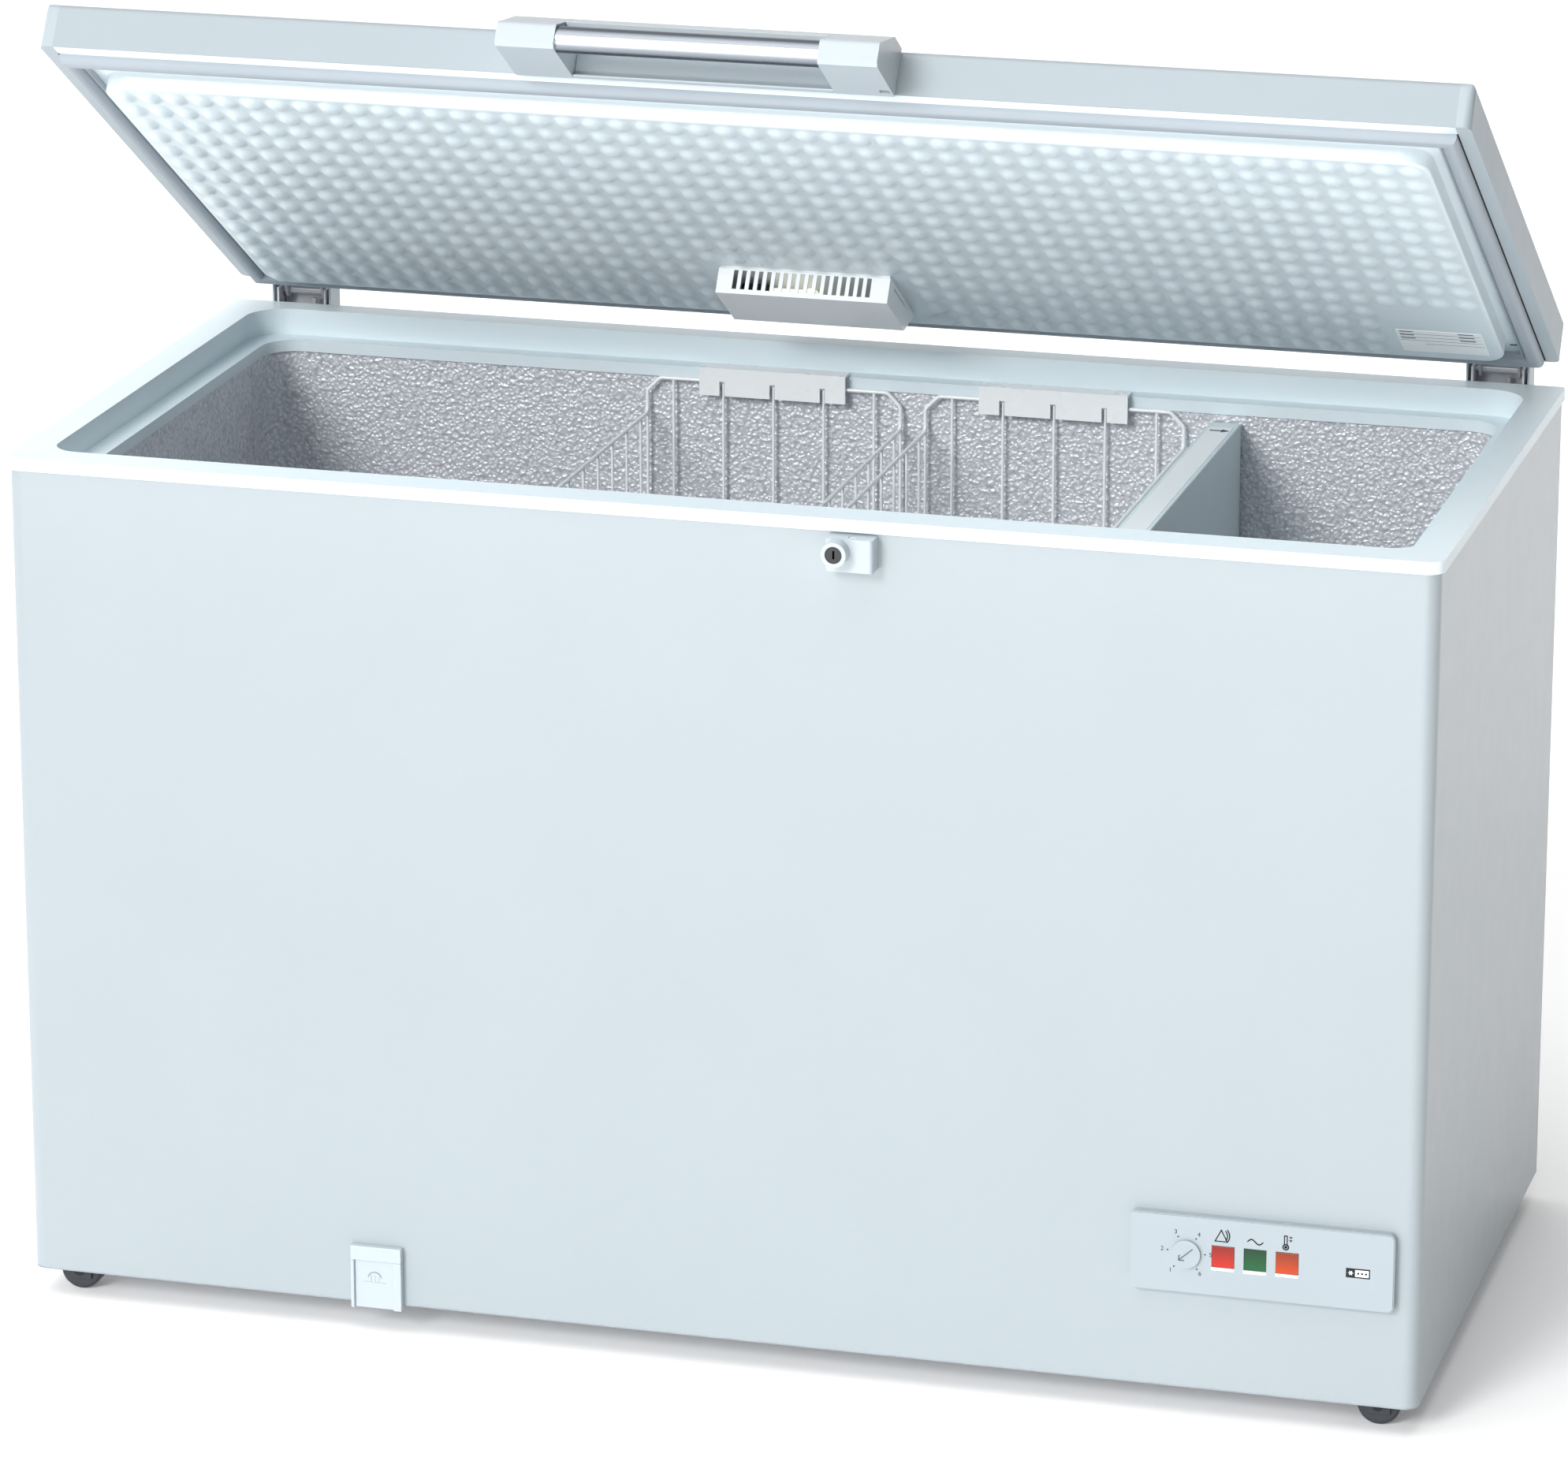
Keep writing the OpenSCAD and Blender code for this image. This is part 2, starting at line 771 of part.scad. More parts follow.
module hinge_arms() {
    ear_x = [-21, 18.5];
    y_in = lid_y1 + gap;
    color("#b5b8ba") lid_pose() at_hinges() difference() {
        union() {
            block([-24, y_in, lid_z0 + 5], [24, y_in + 2.5, lid_z0 + 36]);
            for (x = ear_x) {
                rod_x(hinge_y, hinge_z, 7, x, x + 2.5);
                along_x(x, x + 2.5)
                    polygon([[y_in + 1, lid_z0 + 5], [hinge_y - 2, hinge_z - 6.5],
                        [hinge_y + 3, hinge_z + 6],
                        [y_in + 1, lid_z0 + 22]]);
            }
        }
        rod_x(hinge_y, hinge_z, pin_r + run_fit, -40, 40);
    }
}

// ---- Lid ----

// Side view of the lid, inset by e
module lid_profile(e, z0) {
    r = lid_edge_r - e;
    y0 = lid_y0 + e;
    y1 = lid_y1 - e;
    z1 = lid_z1 - e;
    union() {
        translate([y0, z0]) square([y1 - y0, z1 - r - z0]);
        translate([y0 + r, z1 - r - 0.01]) square([y1 - y0 - 2 * r, r + 0.01]);
        for (y = [y0 + r, y1 - r]) translate([y, z1 - r]) circle(r = r);
    }
}

module lid_skin() {
    color("#d6e3ea") lid_pose() difference() {
        along_x(-skin_x, skin_x) lid_profile(0, lid_z0);
        along_x(-lid_x, lid_x) lid_profile(sheet_t, lid_z0 - 5);
    }
}

module lid_end_caps() {
    wall = 2.5;
    color("#dfe9ef") lid_pose()
        for (k = [0:1]) {
            mirror([k, 0, 0]) difference() {
                intersection() {
                    along_x(skin_x, lid_x) lid_profile(0, lid_z0);
                    translate([0, 0, lid_z0 - 1])
                        linear_extrude(lid_t + 2)
                            plan(-lid_x, lid_x, lid_y0, lid_y1, lid_edge_r, lid_edge_r);
                    translate([0, lid_y1 + 1, 0])
                        rotate([90, 0, 0])
                            linear_extrude(lid_d + 2)
                                plan(-lid_x, lid_x, lid_z0 - 20, lid_z1, 2, lid_edge_r);
                }
                along_x(skin_x - 1, lid_x - wall) lid_profile(wall, lid_z0 + wall);
            }
        }
}

module tray_solid(e, z0, z1) {
    ring_solid(tray, e, z0, z1, tray_r, tray_r);
}

module lid_foam() {
    color("#e8dcae") lid_pose() {
        along_x(-skin_x + 0.2, skin_x - 0.2) lid_profile(sheet_t, lid_z0 + flange_t);
        tray_solid(-flange_t, tray_z + flange_t, lid_z0 + flange_t + 0.01);
    }
}

module lid_liner() {
    e = sheet_t + 0.2;
    color("#d3dfe5") lid_pose() difference() {
        union() {
            block([-skin_x + 0.2, lid_y0 + e, lid_z0], [skin_x - 0.2, lid_y1 - e, lid_z0 + flange_t]);
            tray_solid(0, tray_z, lid_z0 + 0.5);
        }
        tray_solid(-flange_t, tray_z + flange_t, lid_z1);
    }
}

module gasket_ring(e, z0, z1) {
    outer = [skin_x - 0.5, lid_y0 + 18, lid_y1 - 4];
    difference() {
        ring_solid(outer, -e, z0, z1, 6, 6);
        ring_solid(outer, e - 21, z0 - 1, z1 + 1, 22, 22);
    }
}

module lid_gasket() {
    color("#c5cfd6") lid_pose() {
        gasket_ring(0, rim_h + 4, lid_z0);
        gasket_ring(3, rim_h + gap, rim_h + 4.01);
    }
}

// ---- Lamp ----

module lamp_profile(e) {
    y = lamp_y;
    z = tray_z - lamp_wall;
    low = z - lamp_h + lamp_wall + e;
    polygon([[y[0] + e, z], [y[0] + e, low], [y[1] - lamp_slope - e * 0.4, low], [y[1] - 3 - 1.4 * e, z]]);
}

module lamp_base() {
    color("#f0f4f5") lid_pose()
        block([lamp_x[0] + 1, lamp_y[0] + 1, tray_z - lamp_wall], [lamp_x[1] - 1, lamp_y[1] - 4, tray_z]);
}

module lamp_cover() {
    first = lamp_x[0] + 16;
    color("#f4f7f8") lid_pose() difference() {
        along_x(lamp_x[0], lamp_x[1]) lamp_profile(0);
        along_x(lamp_x[0] + lamp_wall, lamp_x[1] - lamp_wall) lamp_profile(lamp_wall);
        block([lamp_x[0] + lamp_wall, lamp_y[0] + lamp_wall, tray_z - lamp_wall - 1],
            [lamp_x[1] - lamp_wall, lamp_y[1] - 6, tray_z]);
        for (i = [0:lamp_slots - 1]) {
            x = first + i * lamp_slot_pitch;
            block([x, lamp_y[0] - 1, tray_z - 24], [x + lamp_slot_w, lamp_y[0] + 5, tray_z - 4]);
        }
        block([lamp_x[1] - 5, lamp_y[0] + 20, tray_z - 8], [lamp_x[1] + 1, lamp_y[0] + 80, tray_z - 6]);
    }
}

module lamp_socket() {
    color("#3b3e42") lid_pose() rod_x(bulb_y, bulb_z, socket_r, socket_x[0], socket_x[1]);
}

module lamp_bulb() {
    color("#fff6dc") lid_pose() {
        rod_x(bulb_y, bulb_z, bulb_r, socket_x[1] + 0.5, bulb_end);
        translate([bulb_end, bulb_y, bulb_z]) sphere(r = bulb_r + 2);
    }
}

module rating_label() {
    color("#e9eff2") lid_pose()
        block([label_x[0], label_y[0], tray_z - label_t], [label_x[1], label_y[1], tray_z]);
}

// ---- Handle ----

handle_x0 = handle_x - handle_w / 2;
handle_x1 = handle_x + handle_w / 2;
bar_out = handle_reach - 14;
bar_up = 11.5;

// Side view of the handle: out is the distance in front of the lid, up the height over its lower edge
function hp(out, up) = [lid_y0 - out, lid_z0 + up];

module handle_ends() {
    reach = handle_reach;
    color("#e4eef3") lid_pose()
        for (x = [handle_x0, handle_x1 - block_w])
            difference() {
                along_x(x, x + block_w) union() {
                    polygon([hp(gap, -2), hp(reach - 4, -2), hp(reach, 2), hp(reach, 17),
                        hp(reach - 6, 23.5), hp(30, 46), hp(gap, 46)]);
                    translate(hp(reach - 6, 17.5)) circle(r = 6);
                }
                for (k = [0, 1]) {
                    s = k == 0 ? x + block_w - 6 : x - 1;
                    if ((k == 0) == (x == handle_x0))
                        rod_x(lid_y0 - bar_out, lid_z0 + bar_up, bar_d / 2, s, s + 7);
                }
                block([bolt_x[0] - bolt_room, body[1] - bolt_y[0] - bolt_room, lid_z0 - 5],
                    [bolt_x[1] + bolt_room, body[1] - bolt_y[1] + bolt_room, lid_z0 + 6]);
            }
}

module handle_plate() {
    x0 = handle_x0 + block_w;
    x1 = handle_x1 - block_w;
    color("#e4eef3") lid_pose()
        along_x(x0, x1)
            polygon([hp(gap, -2), hp(8, -2), hp(8, 0), hp(3, 2), hp(3, 39), hp(28, 40), hp(52, 30),
                hp(54, 34), hp(30, 46), hp(gap, 46)]);
}

module handle_bar() {
    color("#aeb6c0") lid_pose()
        rod_x(lid_y0 - bar_out, lid_z0 + bar_up, bar_d / 2,
            handle_x0 + block_w - 6, handle_x1 - block_w + 6);
}

// ---- Baskets and divider ----

// An eight-sided wire between two points
module wire(a, b, r) {
    d = b - a;
    n = norm(d);
    translate(a)
        rotate([0, acos(d[2] / n), atan2(d[1], d[0])])
            translate([0, 0, -r * wire_over])
                rotate([0, 0, 180 / wire_sides])
                    cylinder(h = n + 2 * r * wire_over, r = r, $fn = wire_sides);
}

module wires(points, r) {
    for (i = [0:len(points) - 2]) wire(points[i], points[i + 1], r);
}

module basket(xc) {
    h = basket_w / 2;
    y = wire_y;
    r = wire_r;
    fine = r * 0.75;
    t = wire_top;
    f = basket_floor;
    s = rim_slope;
    color("#f3f5f6") translate([xc, 0, 0]) {
        // two end frames, each with a raised middle, and the side rails that join them
        for (e = [0, 1])
            wires([[-h, y[e], side_z], [-h, y[e], t - s], [-h + s, y[e], t], [h - s, y[e], t],
                [h, y[e], t - s], [h, y[e], side_z]], r);
        for (x = [-h, h]) wires([[x, y[0], side_z], [x, y[1], side_z]], r);
        // lengthways wires, down one end, along the floor and up the other
        for (x = [-2 * pitch_x:pitch_x:2 * pitch_x])
            wires([[x, y[0], t], [x, y[0], f], [x, y[1], f], [x, y[1], t]], fine);
        // crossways wires, down one side and up the other
        for (k = [-5:5]) {
            yy = (y[0] + y[1]) / 2 + k * pitch_y;
            wires([[-h, yy, side_z], [-h, yy, f - fine], [h, yy, f - fine], [h, yy, side_z]], fine);
        }
        for (x = [-h, h]) {
            for (e = [0, 1]) wires([[x, y[e], side_z], [x, y[e], f]], fine);
        }
    }
}

module basket_left() {
    basket(basket_l);
}

module basket_right() {
    basket(basket_r);
}

// Clips that hook a basket's end frames over the ledge
module clips(xc) {
    slot = wire_r + 0.8;
    color("#e3edf0")
        for (k = [0, 1]) {
            s = k == 0 ? -1 : 1;
            yw = wire_y[k];
            difference() {
                union() {
                    along_x(xc - clip_w / 2, xc + clip_w / 2)
                        polygon([[yw - s * 6, wire_top - 14], [yw - s * 3, wire_top - 14],
                            [yw - s * 3, ledge_z + gap], [yw + s * 15, ledge_z + gap],
                            [yw + s * 15, ledge_z + 3], [yw - s * 6, ledge_z + 3]]);
                    rod_x(yw, wire_top, 4.4, xc - clip_w / 2 + 4, xc + clip_w / 2 - 4);
                    block([xc - clip_w / 2 + 4, min(yw, yw - s * 4), wire_top - 4],
                        [xc + clip_w / 2 - 4, max(yw, yw - s * 4), wire_top + 4]);
                }
                rod_x(yw, wire_top, wire_r + 0.05, xc - clip_w, xc + clip_w);
                for (x = [-pitch_x:pitch_x:pitch_x])
                    block([xc + x - slot, yw - 7, wire_top - 20], [xc + x + slot, yw + 7, wire_top + 1]);
            }
        }
}

module basket_left_clips() {
    clips(basket_l);
}

module basket_right_clips() {
    clips(basket_r);
}

div_x = [step_x + 4, step_x + 36];
div_y = [mouth[1] + 1.5, mouth[2] - 1.5];
div_top = ledge_z - 20;
div_wall = 3;
trough_y = div_y[0] + 84;
trough_z = div_top - 30;

module divider() {
    w = div_wall;
    color("#a9b7bc") difference() {
        block([div_x[0], div_y[0], step_h + gap], [div_x[1], div_y[1], div_top]);
        block([div_x[0] - 1, div_y[0] - 1, trough_z], [div_x[1] + 1, trough_y, div_top + 1]);
        block([div_x[0] + w, div_y[0] + w, trough_z - 40], [div_x[1] - w, trough_y - w, div_top]);
        block([div_x[0] + w, trough_y + 6, step_h - 1], [div_x[1] - w, div_y[1] - w, div_top - w]);
        block([div_x[0] + w, div_y[0] + w, step_h - 1], [div_x[1] - w, trough_y + 3, trough_z - 40 - w]);
    }
}

outer_shell();
back_panel();
base_plate();
foam_insulation();
tub_liner();
top_frame();
compressor();
compressor_feet();
compressor_tray();
start_relay();
condenser_coil();
evaporator_coil();
filter_drier();
refrigerant_pipes();
rear_grille();
power_inlet();
thermostat();
switch_block();
control_fascia();
power_lens();
control_knob();
alarm_button();
fast_freeze_button();
lock_housing();
lock_cylinder();
lock_bolt();
drain_channel();
drain_plug();
drain_cover();
castor_brackets();
castor_axles();
castor_front_left();
castor_front_right();
castor_rear_left();
castor_rear_right();
hinge_covers();
hinge_bases();
hinge_pins();
hinge_springs();
hinge_arms();
lid_skin();
lid_end_caps();
lid_foam();
lid_liner();
lid_gasket();
lamp_base();
lamp_cover();
lamp_socket();
lamp_bulb();
rating_label();
handle_ends();
handle_plate();
handle_bar();
basket_left();
basket_right();
basket_left_clips();
basket_right_clips();
divider();
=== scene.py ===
"""The looks of a chest freezer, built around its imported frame. Metres, +Z up, front towards -Y."""

import json  # noqa: E402
import math  # noqa: E402

import bpy  # noqa: E402
from mathutils import Matrix, Vector  # noqa: E402


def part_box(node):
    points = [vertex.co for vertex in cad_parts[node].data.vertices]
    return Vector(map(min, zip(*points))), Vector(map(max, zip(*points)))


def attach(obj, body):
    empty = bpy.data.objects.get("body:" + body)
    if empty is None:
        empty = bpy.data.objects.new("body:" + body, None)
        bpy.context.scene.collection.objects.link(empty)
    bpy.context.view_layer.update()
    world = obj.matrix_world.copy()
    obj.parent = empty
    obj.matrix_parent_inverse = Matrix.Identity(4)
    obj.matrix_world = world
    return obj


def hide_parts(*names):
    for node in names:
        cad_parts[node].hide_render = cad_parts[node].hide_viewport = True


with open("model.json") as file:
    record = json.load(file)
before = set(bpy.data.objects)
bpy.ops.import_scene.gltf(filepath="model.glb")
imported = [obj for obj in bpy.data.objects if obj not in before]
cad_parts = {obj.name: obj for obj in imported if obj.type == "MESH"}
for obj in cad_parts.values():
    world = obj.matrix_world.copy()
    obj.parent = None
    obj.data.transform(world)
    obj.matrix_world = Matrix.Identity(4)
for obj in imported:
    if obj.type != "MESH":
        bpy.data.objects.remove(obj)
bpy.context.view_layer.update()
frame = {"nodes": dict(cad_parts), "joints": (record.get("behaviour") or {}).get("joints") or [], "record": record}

LID_JOINT = next(j for j in frame["joints"] if j["name"] == "lid_hinge")
LID_ANGLE = -LID_JOINT["range_deg"][0]
LID_AXIS = Vector(LID_JOINT["pos_m"])
OPEN_LID = (
    Matrix.Translation(LID_AXIS)
    @ Matrix.Rotation(math.radians(-LID_ANGLE), 4, "X")
    @ Matrix.Translation(-LID_AXIS)
)
CLOSE_LID = OPEN_LID.inverted()


def closed_box(node):
    """A lid node's lowest and highest corners with the lid turned shut."""
    corners = [CLOSE_LID @ v.co for v in frame["nodes"][node].data.vertices]
    low = Vector([min(c[i] for c in corners) for i in range(3)])
    high = Vector([max(c[i] for c in corners) for i in range(3)])
    return low, high


# ---------------------------------------------------------------- camera, light and floor

# One camera fitted to the cabinet's and lid's edges
CAMERA_PLACE = (1.785, -6.486, 2.612)
CAMERA_YAW = math.radians(15.51)
CAMERA_PITCH = math.radians(17.07)
CAMERA_LENS = 163.1


def make_camera():
    data = bpy.data.cameras.new("view")
    data.lens = CAMERA_LENS
    data.sensor_width = 36
    data.clip_end = 200
    camera = bpy.data.objects.new("view", data)
    bpy.context.scene.collection.objects.link(camera)
    camera.matrix_world = (
        Matrix.Translation(CAMERA_PLACE)
        @ Matrix.Rotation(CAMERA_YAW, 4, "Z")
        @ Matrix.Rotation(math.pi / 2 - CAMERA_PITCH, 4, "X")
    )
    bpy.context.scene.camera = camera


def sun(name, towards, strength, softness):
    """A distant light shining along a direction, softened over some degrees."""
    data = bpy.data.lights.new(name, "SUN")
    data.energy = strength
    data.angle = math.radians(softness)
    lamp = bpy.data.objects.new(name, data)
    bpy.context.scene.collection.objects.link(lamp)
    lamp.rotation_euler = Vector(towards).to_track_quat("-Z", "Y").to_euler()


def area_light(name, place, aim, size, power):
    """A soft box facing a point."""
    data = bpy.data.lights.new(name, "AREA")
    data.shape = "RECTANGLE"
    data.size, data.size_y = size
    data.energy = power
    lamp = bpy.data.objects.new(name, data)
    bpy.context.scene.collection.objects.link(lamp)
    lamp.location = place
    lamp.rotation_euler = (Vector(aim) - Vector(place)).to_track_quat("-Z", "Y").to_euler()


def make_studio():
    """A white surround that is dim on the right, with soft light from the front left and above."""
    world = bpy.data.worlds.new("studio")
    world.use_nodes = True
    tree = world.node_tree
    place = tree.nodes.new("ShaderNodeTexCoord")
    split = tree.nodes.new("ShaderNodeSeparateXYZ")
    fade = tree.nodes.new("ShaderNodeMapRange")
    fade.interpolation_type = "SMOOTHSTEP"
    fade.inputs["From Min"].default_value = -0.25
    fade.inputs["From Max"].default_value = 0.6
    fade.inputs["To Min"].default_value = 1.0
    fade.inputs["To Max"].default_value = 0.06
    tree.links.new(place.outputs["Generated"], split.inputs["Vector"])
    tree.links.new(split.outputs["X"], fade.inputs["Value"])
    background = tree.nodes["Background"]
    background.inputs["Color"].default_value = (1, 1, 1, 1)
    tree.links.new(fade.outputs["Result"], background.inputs["Strength"])
    bpy.context.scene.world = world
    bpy.context.scene.view_settings.view_transform = "Standard"
    sun("key", towards=(0.30, 0.80, -0.46), strength=1.7, softness=20)
    sun("top", towards=(0.10, 0.15, -1.0), strength=0.9, softness=50)
    area_light("low", place=(-0.2, -3.7, 0.22), aim=(0.0, 0.1, 1.1), size=(4.4, 0.9), power=62)
    floor_mesh = bpy.data.meshes.new("floor")
    half = 30  # far enough to hide the floor's edge
    corners = [(-half, -half, 0), (half, -half, 0), (half, half, 0), (-half, half, 0)]
    floor_mesh.from_pydata(corners, [], [(0, 1, 2, 3)])
    floor = bpy.data.objects.new("floor", floor_mesh)
    bpy.context.scene.collection.objects.link(floor)
    floor_look = plain("studio_floor", (253, 253, 253), roughness=1.0)
    floor.data.materials.append(lit(floor_look, (255, 255, 255), 0.14))


# ---------------------------------------------------------------- materials


def linear(colour):
    """An 8-bit screen colour as linear values."""

    def channel(c):
        return c / 255 / 12.92 if c <= 10 else ((c / 255 + 0.055) / 1.055) ** 2.4

    return tuple(channel(c) for c in colour) + (1.0,)


def shader_of(material):
    return material.node_tree.nodes["Principled BSDF"]


def plain(name, colour, roughness, metallic=0.0, coat=0.0):
    material = bpy.data.materials.new(name)
    material.use_nodes = True
    shader = shader_of(material)
    shader.inputs["Base Color"].default_value = linear(colour)
    shader.inputs["Roughness"].default_value = roughness
    shader.inputs["Metallic"].default_value = metallic
    shader.inputs["Coat Weight"].default_value = coat
    shader.inputs["Coat Roughness"].default_value = 0.12
    return material


def node_of(material, kind, **settings):
    made = material.node_tree.nodes.new(kind)
    for key, value in settings.items():
        if key in made.inputs:
            made.inputs[key].default_value = value
        else:
            setattr(made, key, value)
    return made


def link(material, source, target):
    material.node_tree.links.new(source, target)


def object_space(material, stretch=(1, 1, 1)):
    """Object coordinates in metres, stretched along each axis."""
    place = node_of(material, "ShaderNodeTexCoord")
    mapping = node_of(material, "ShaderNodeMapping")
    mapping.inputs["Scale"].default_value = stretch
    link(material, place.outputs["Object"], mapping.inputs["Vector"])
    return mapping.outputs["Vector"]


def tinted(material, factor, colour, other):
    """Mixes the base colour between two screen colours by a 0 to 1 factor."""
    mix = node_of(material, "ShaderNodeMix", data_type="RGBA")
    mix.inputs[6].default_value = linear(colour)
    mix.inputs[7].default_value = linear(other)
    link(material, factor, mix.inputs["Factor"])
    link(material, mix.outputs[2], shader_of(material).inputs["Base Color"])


def ranged(material, value, low, high, socket):
    """Maps a 0 to 1 value to low..high on one of the shader's sockets."""
    scale = node_of(material, "ShaderNodeMapRange")
    scale.inputs["To Min"].default_value = low
    scale.inputs["To Max"].default_value = high
    link(material, value, scale.inputs["Value"])
    link(material, scale.outputs["Result"], shader_of(material).inputs[socket])


def bumped(material, height, distance):
    """Fine relief, distance metres deep."""
    bump = node_of(material, "ShaderNodeBump")
    bump.inputs["Strength"].default_value = 1.0
    bump.inputs["Distance"].default_value = distance
    link(material, height, bump.inputs["Height"])
    link(material, bump.outputs["Normal"], shader_of(material).inputs["Normal"])


def noise(material, size, detail=2.0, stretch=(1, 1, 1)):
    """Noise whose cells are about size metres."""
    texture = node_of(material, "ShaderNodeTexNoise")
    texture.inputs["Scale"].default_value = 1 / size
    texture.inputs["Detail"].default_value = detail
    link(material, object_space(material, stretch), texture.inputs["Vector"])
    return texture.outputs["Fac"]


def moulded(name, colour, roughness, grain=0.0006, depth=0.00003, fade=6, **more):
    """A moulded or painted surface: fine grain, and a slight drift of colour and gloss."""
    material = plain(name, colour, roughness, **more)
    drift = noise(material, 0.16, 1.0)
    darker = [max(c - fade, 0) for c in colour]
    lighter = [min(c + fade * 0.5, 255) for c in colour]
    tinted(material, drift, darker, lighter)
    gloss = noise(material, 0.03, 3.0)
    ranged(material, gloss, roughness * 0.85, min(roughness * 1.15, 1), "Roughness")
    bumped(material, noise(material, grain, 2.0), depth)
    return material


def stucco_aluminium():
    """Embossed aluminium sheet: rounded pebbles, with a painted highlight in their middles and painted shade at
    their borders.
    """
    material = plain("stucco_aluminium", (236, 238, 242), 0.45, metallic=0.35)
    place = object_space(material)
    swirl = node_of(material, "ShaderNodeTexNoise", Scale=140.0)
    link(material, place, swirl.inputs["Vector"])
    wobble = node_of(material, "ShaderNodeMix", data_type="VECTOR")
    wobble.inputs["Factor"].default_value = 0.006
    link(material, place, wobble.inputs[4])
    link(material, swirl.outputs["Color"], wobble.inputs[5])
    pebbles = node_of(
        material, "ShaderNodeTexVoronoi", feature="SMOOTH_F1", Scale=240.0, Smoothness=0.6
    )
    link(material, wobble.outputs[1], pebbles.inputs["Vector"])
    bumped(material, pebbles.outputs["Distance"], 0.0013)
    # painted highlight in each pebble's middle and painted shade at its borders
    tinted(material, pebbles.outputs["Distance"], (244, 245, 248), (186, 189, 198))
    return material


def height_in(material, node):
    """How far up a CAD node's box a point lies, from 0 to 1."""
    low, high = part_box(node)
    split = node_of(material, "ShaderNodeSeparateXYZ")
    link(material, object_space(material), split.inputs["Vector"])
    height = node_of(material, "ShaderNodeMapRange")
    height.inputs["From Min"].default_value = low.z
    height.inputs["From Max"].default_value = high.z
    link(material, split.outputs["Z"], height.inputs["Value"])
    return height.outputs["Result"]


def brushed_steel(name, node, roughness, painted_bands):
    """Steel brushed along X, with four stripes of painted shade and painted highlight from the bottom of its
    height to the top.
    """
    material = plain(name, painted_bands[1], roughness, metallic=0.9)
    streaks = noise(material, 0.0007, 3.0, (0.02, 1, 1))
    ranged(material, streaks, roughness * 0.7, roughness * 1.5, "Roughness")
    bumped(material, streaks, 0.00002)
    # painted reflection: stripes of painted shade and a painted highlight up the bar's height
    ramp = node_of(material, "ShaderNodeValToRGB")
    ramp.color_ramp.elements[0].color = linear(painted_bands[0])
    ramp.color_ramp.elements[1].color = linear(painted_bands[3])
    for place, colour in ((0.35, painted_bands[1]), (0.6, painted_bands[2])):
        ramp.color_ramp.elements.new(place).color = linear(colour)
    link(material, height_in(material, node), ramp.inputs["Fac"])
    link(material, ramp.outputs["Color"], shader_of(material).inputs["Base Color"])
    return material


def worn_metal(name, colour, roughness, metallic=1.0):
    """Plated or bare metal with a mottled finish."""
    material = plain(name, colour, roughness, metallic=metallic)
    mottle = noise(material, 0.012, 4.0)
    tinted(material, mottle, [max(c - 30, 0) for c in colour], colour)
    ranged(material, mottle, roughness * 0.7, roughness * 1.4, "Roughness")
    bumped(material, noise(material, 0.002, 3.0), 0.00003)
    return material


def lens(name, node, top, bottom):
    """A coloured clear plastic button, darker towards its top as painted shade, with fine vertical ribs inside."""
    material = plain(name, bottom, 0.3, coat=0.1)
    # painted shade: the colour darkens from the bottom of the lens to its top
    tinted(material, height_in(material, node), bottom, top)
    bumped(material, noise(material, 0.0012, 1.0, (1, 1, 0.05)), 0.00004)
    return material


def lit(material, colour, strength):
    """Lets a material give a little light of its own."""
    shader = shader_of(material)
    shader.inputs["Emission Color"].default_value = linear(colour)
    shader.inputs["Emission Strength"].default_value = strength
    return material


# Stove enamel on sheet steel: a faint orange peel under a clear coat
ENAMEL = {"grain": 0.0025, "depth": 0.000012, "fade": 2, "coat": 0.25}
# Painted reflection on the handle's bar, from its underside to its top: painted shade below, a painted highlight
# above the middle, a painted dark stripe at the top
BAR_PAINTED_REFLECTION = [(96, 102, 112), (158, 164, 172), (204, 210, 216), (74, 80, 90)]
BULB_COLOUR = (255, 250, 236)

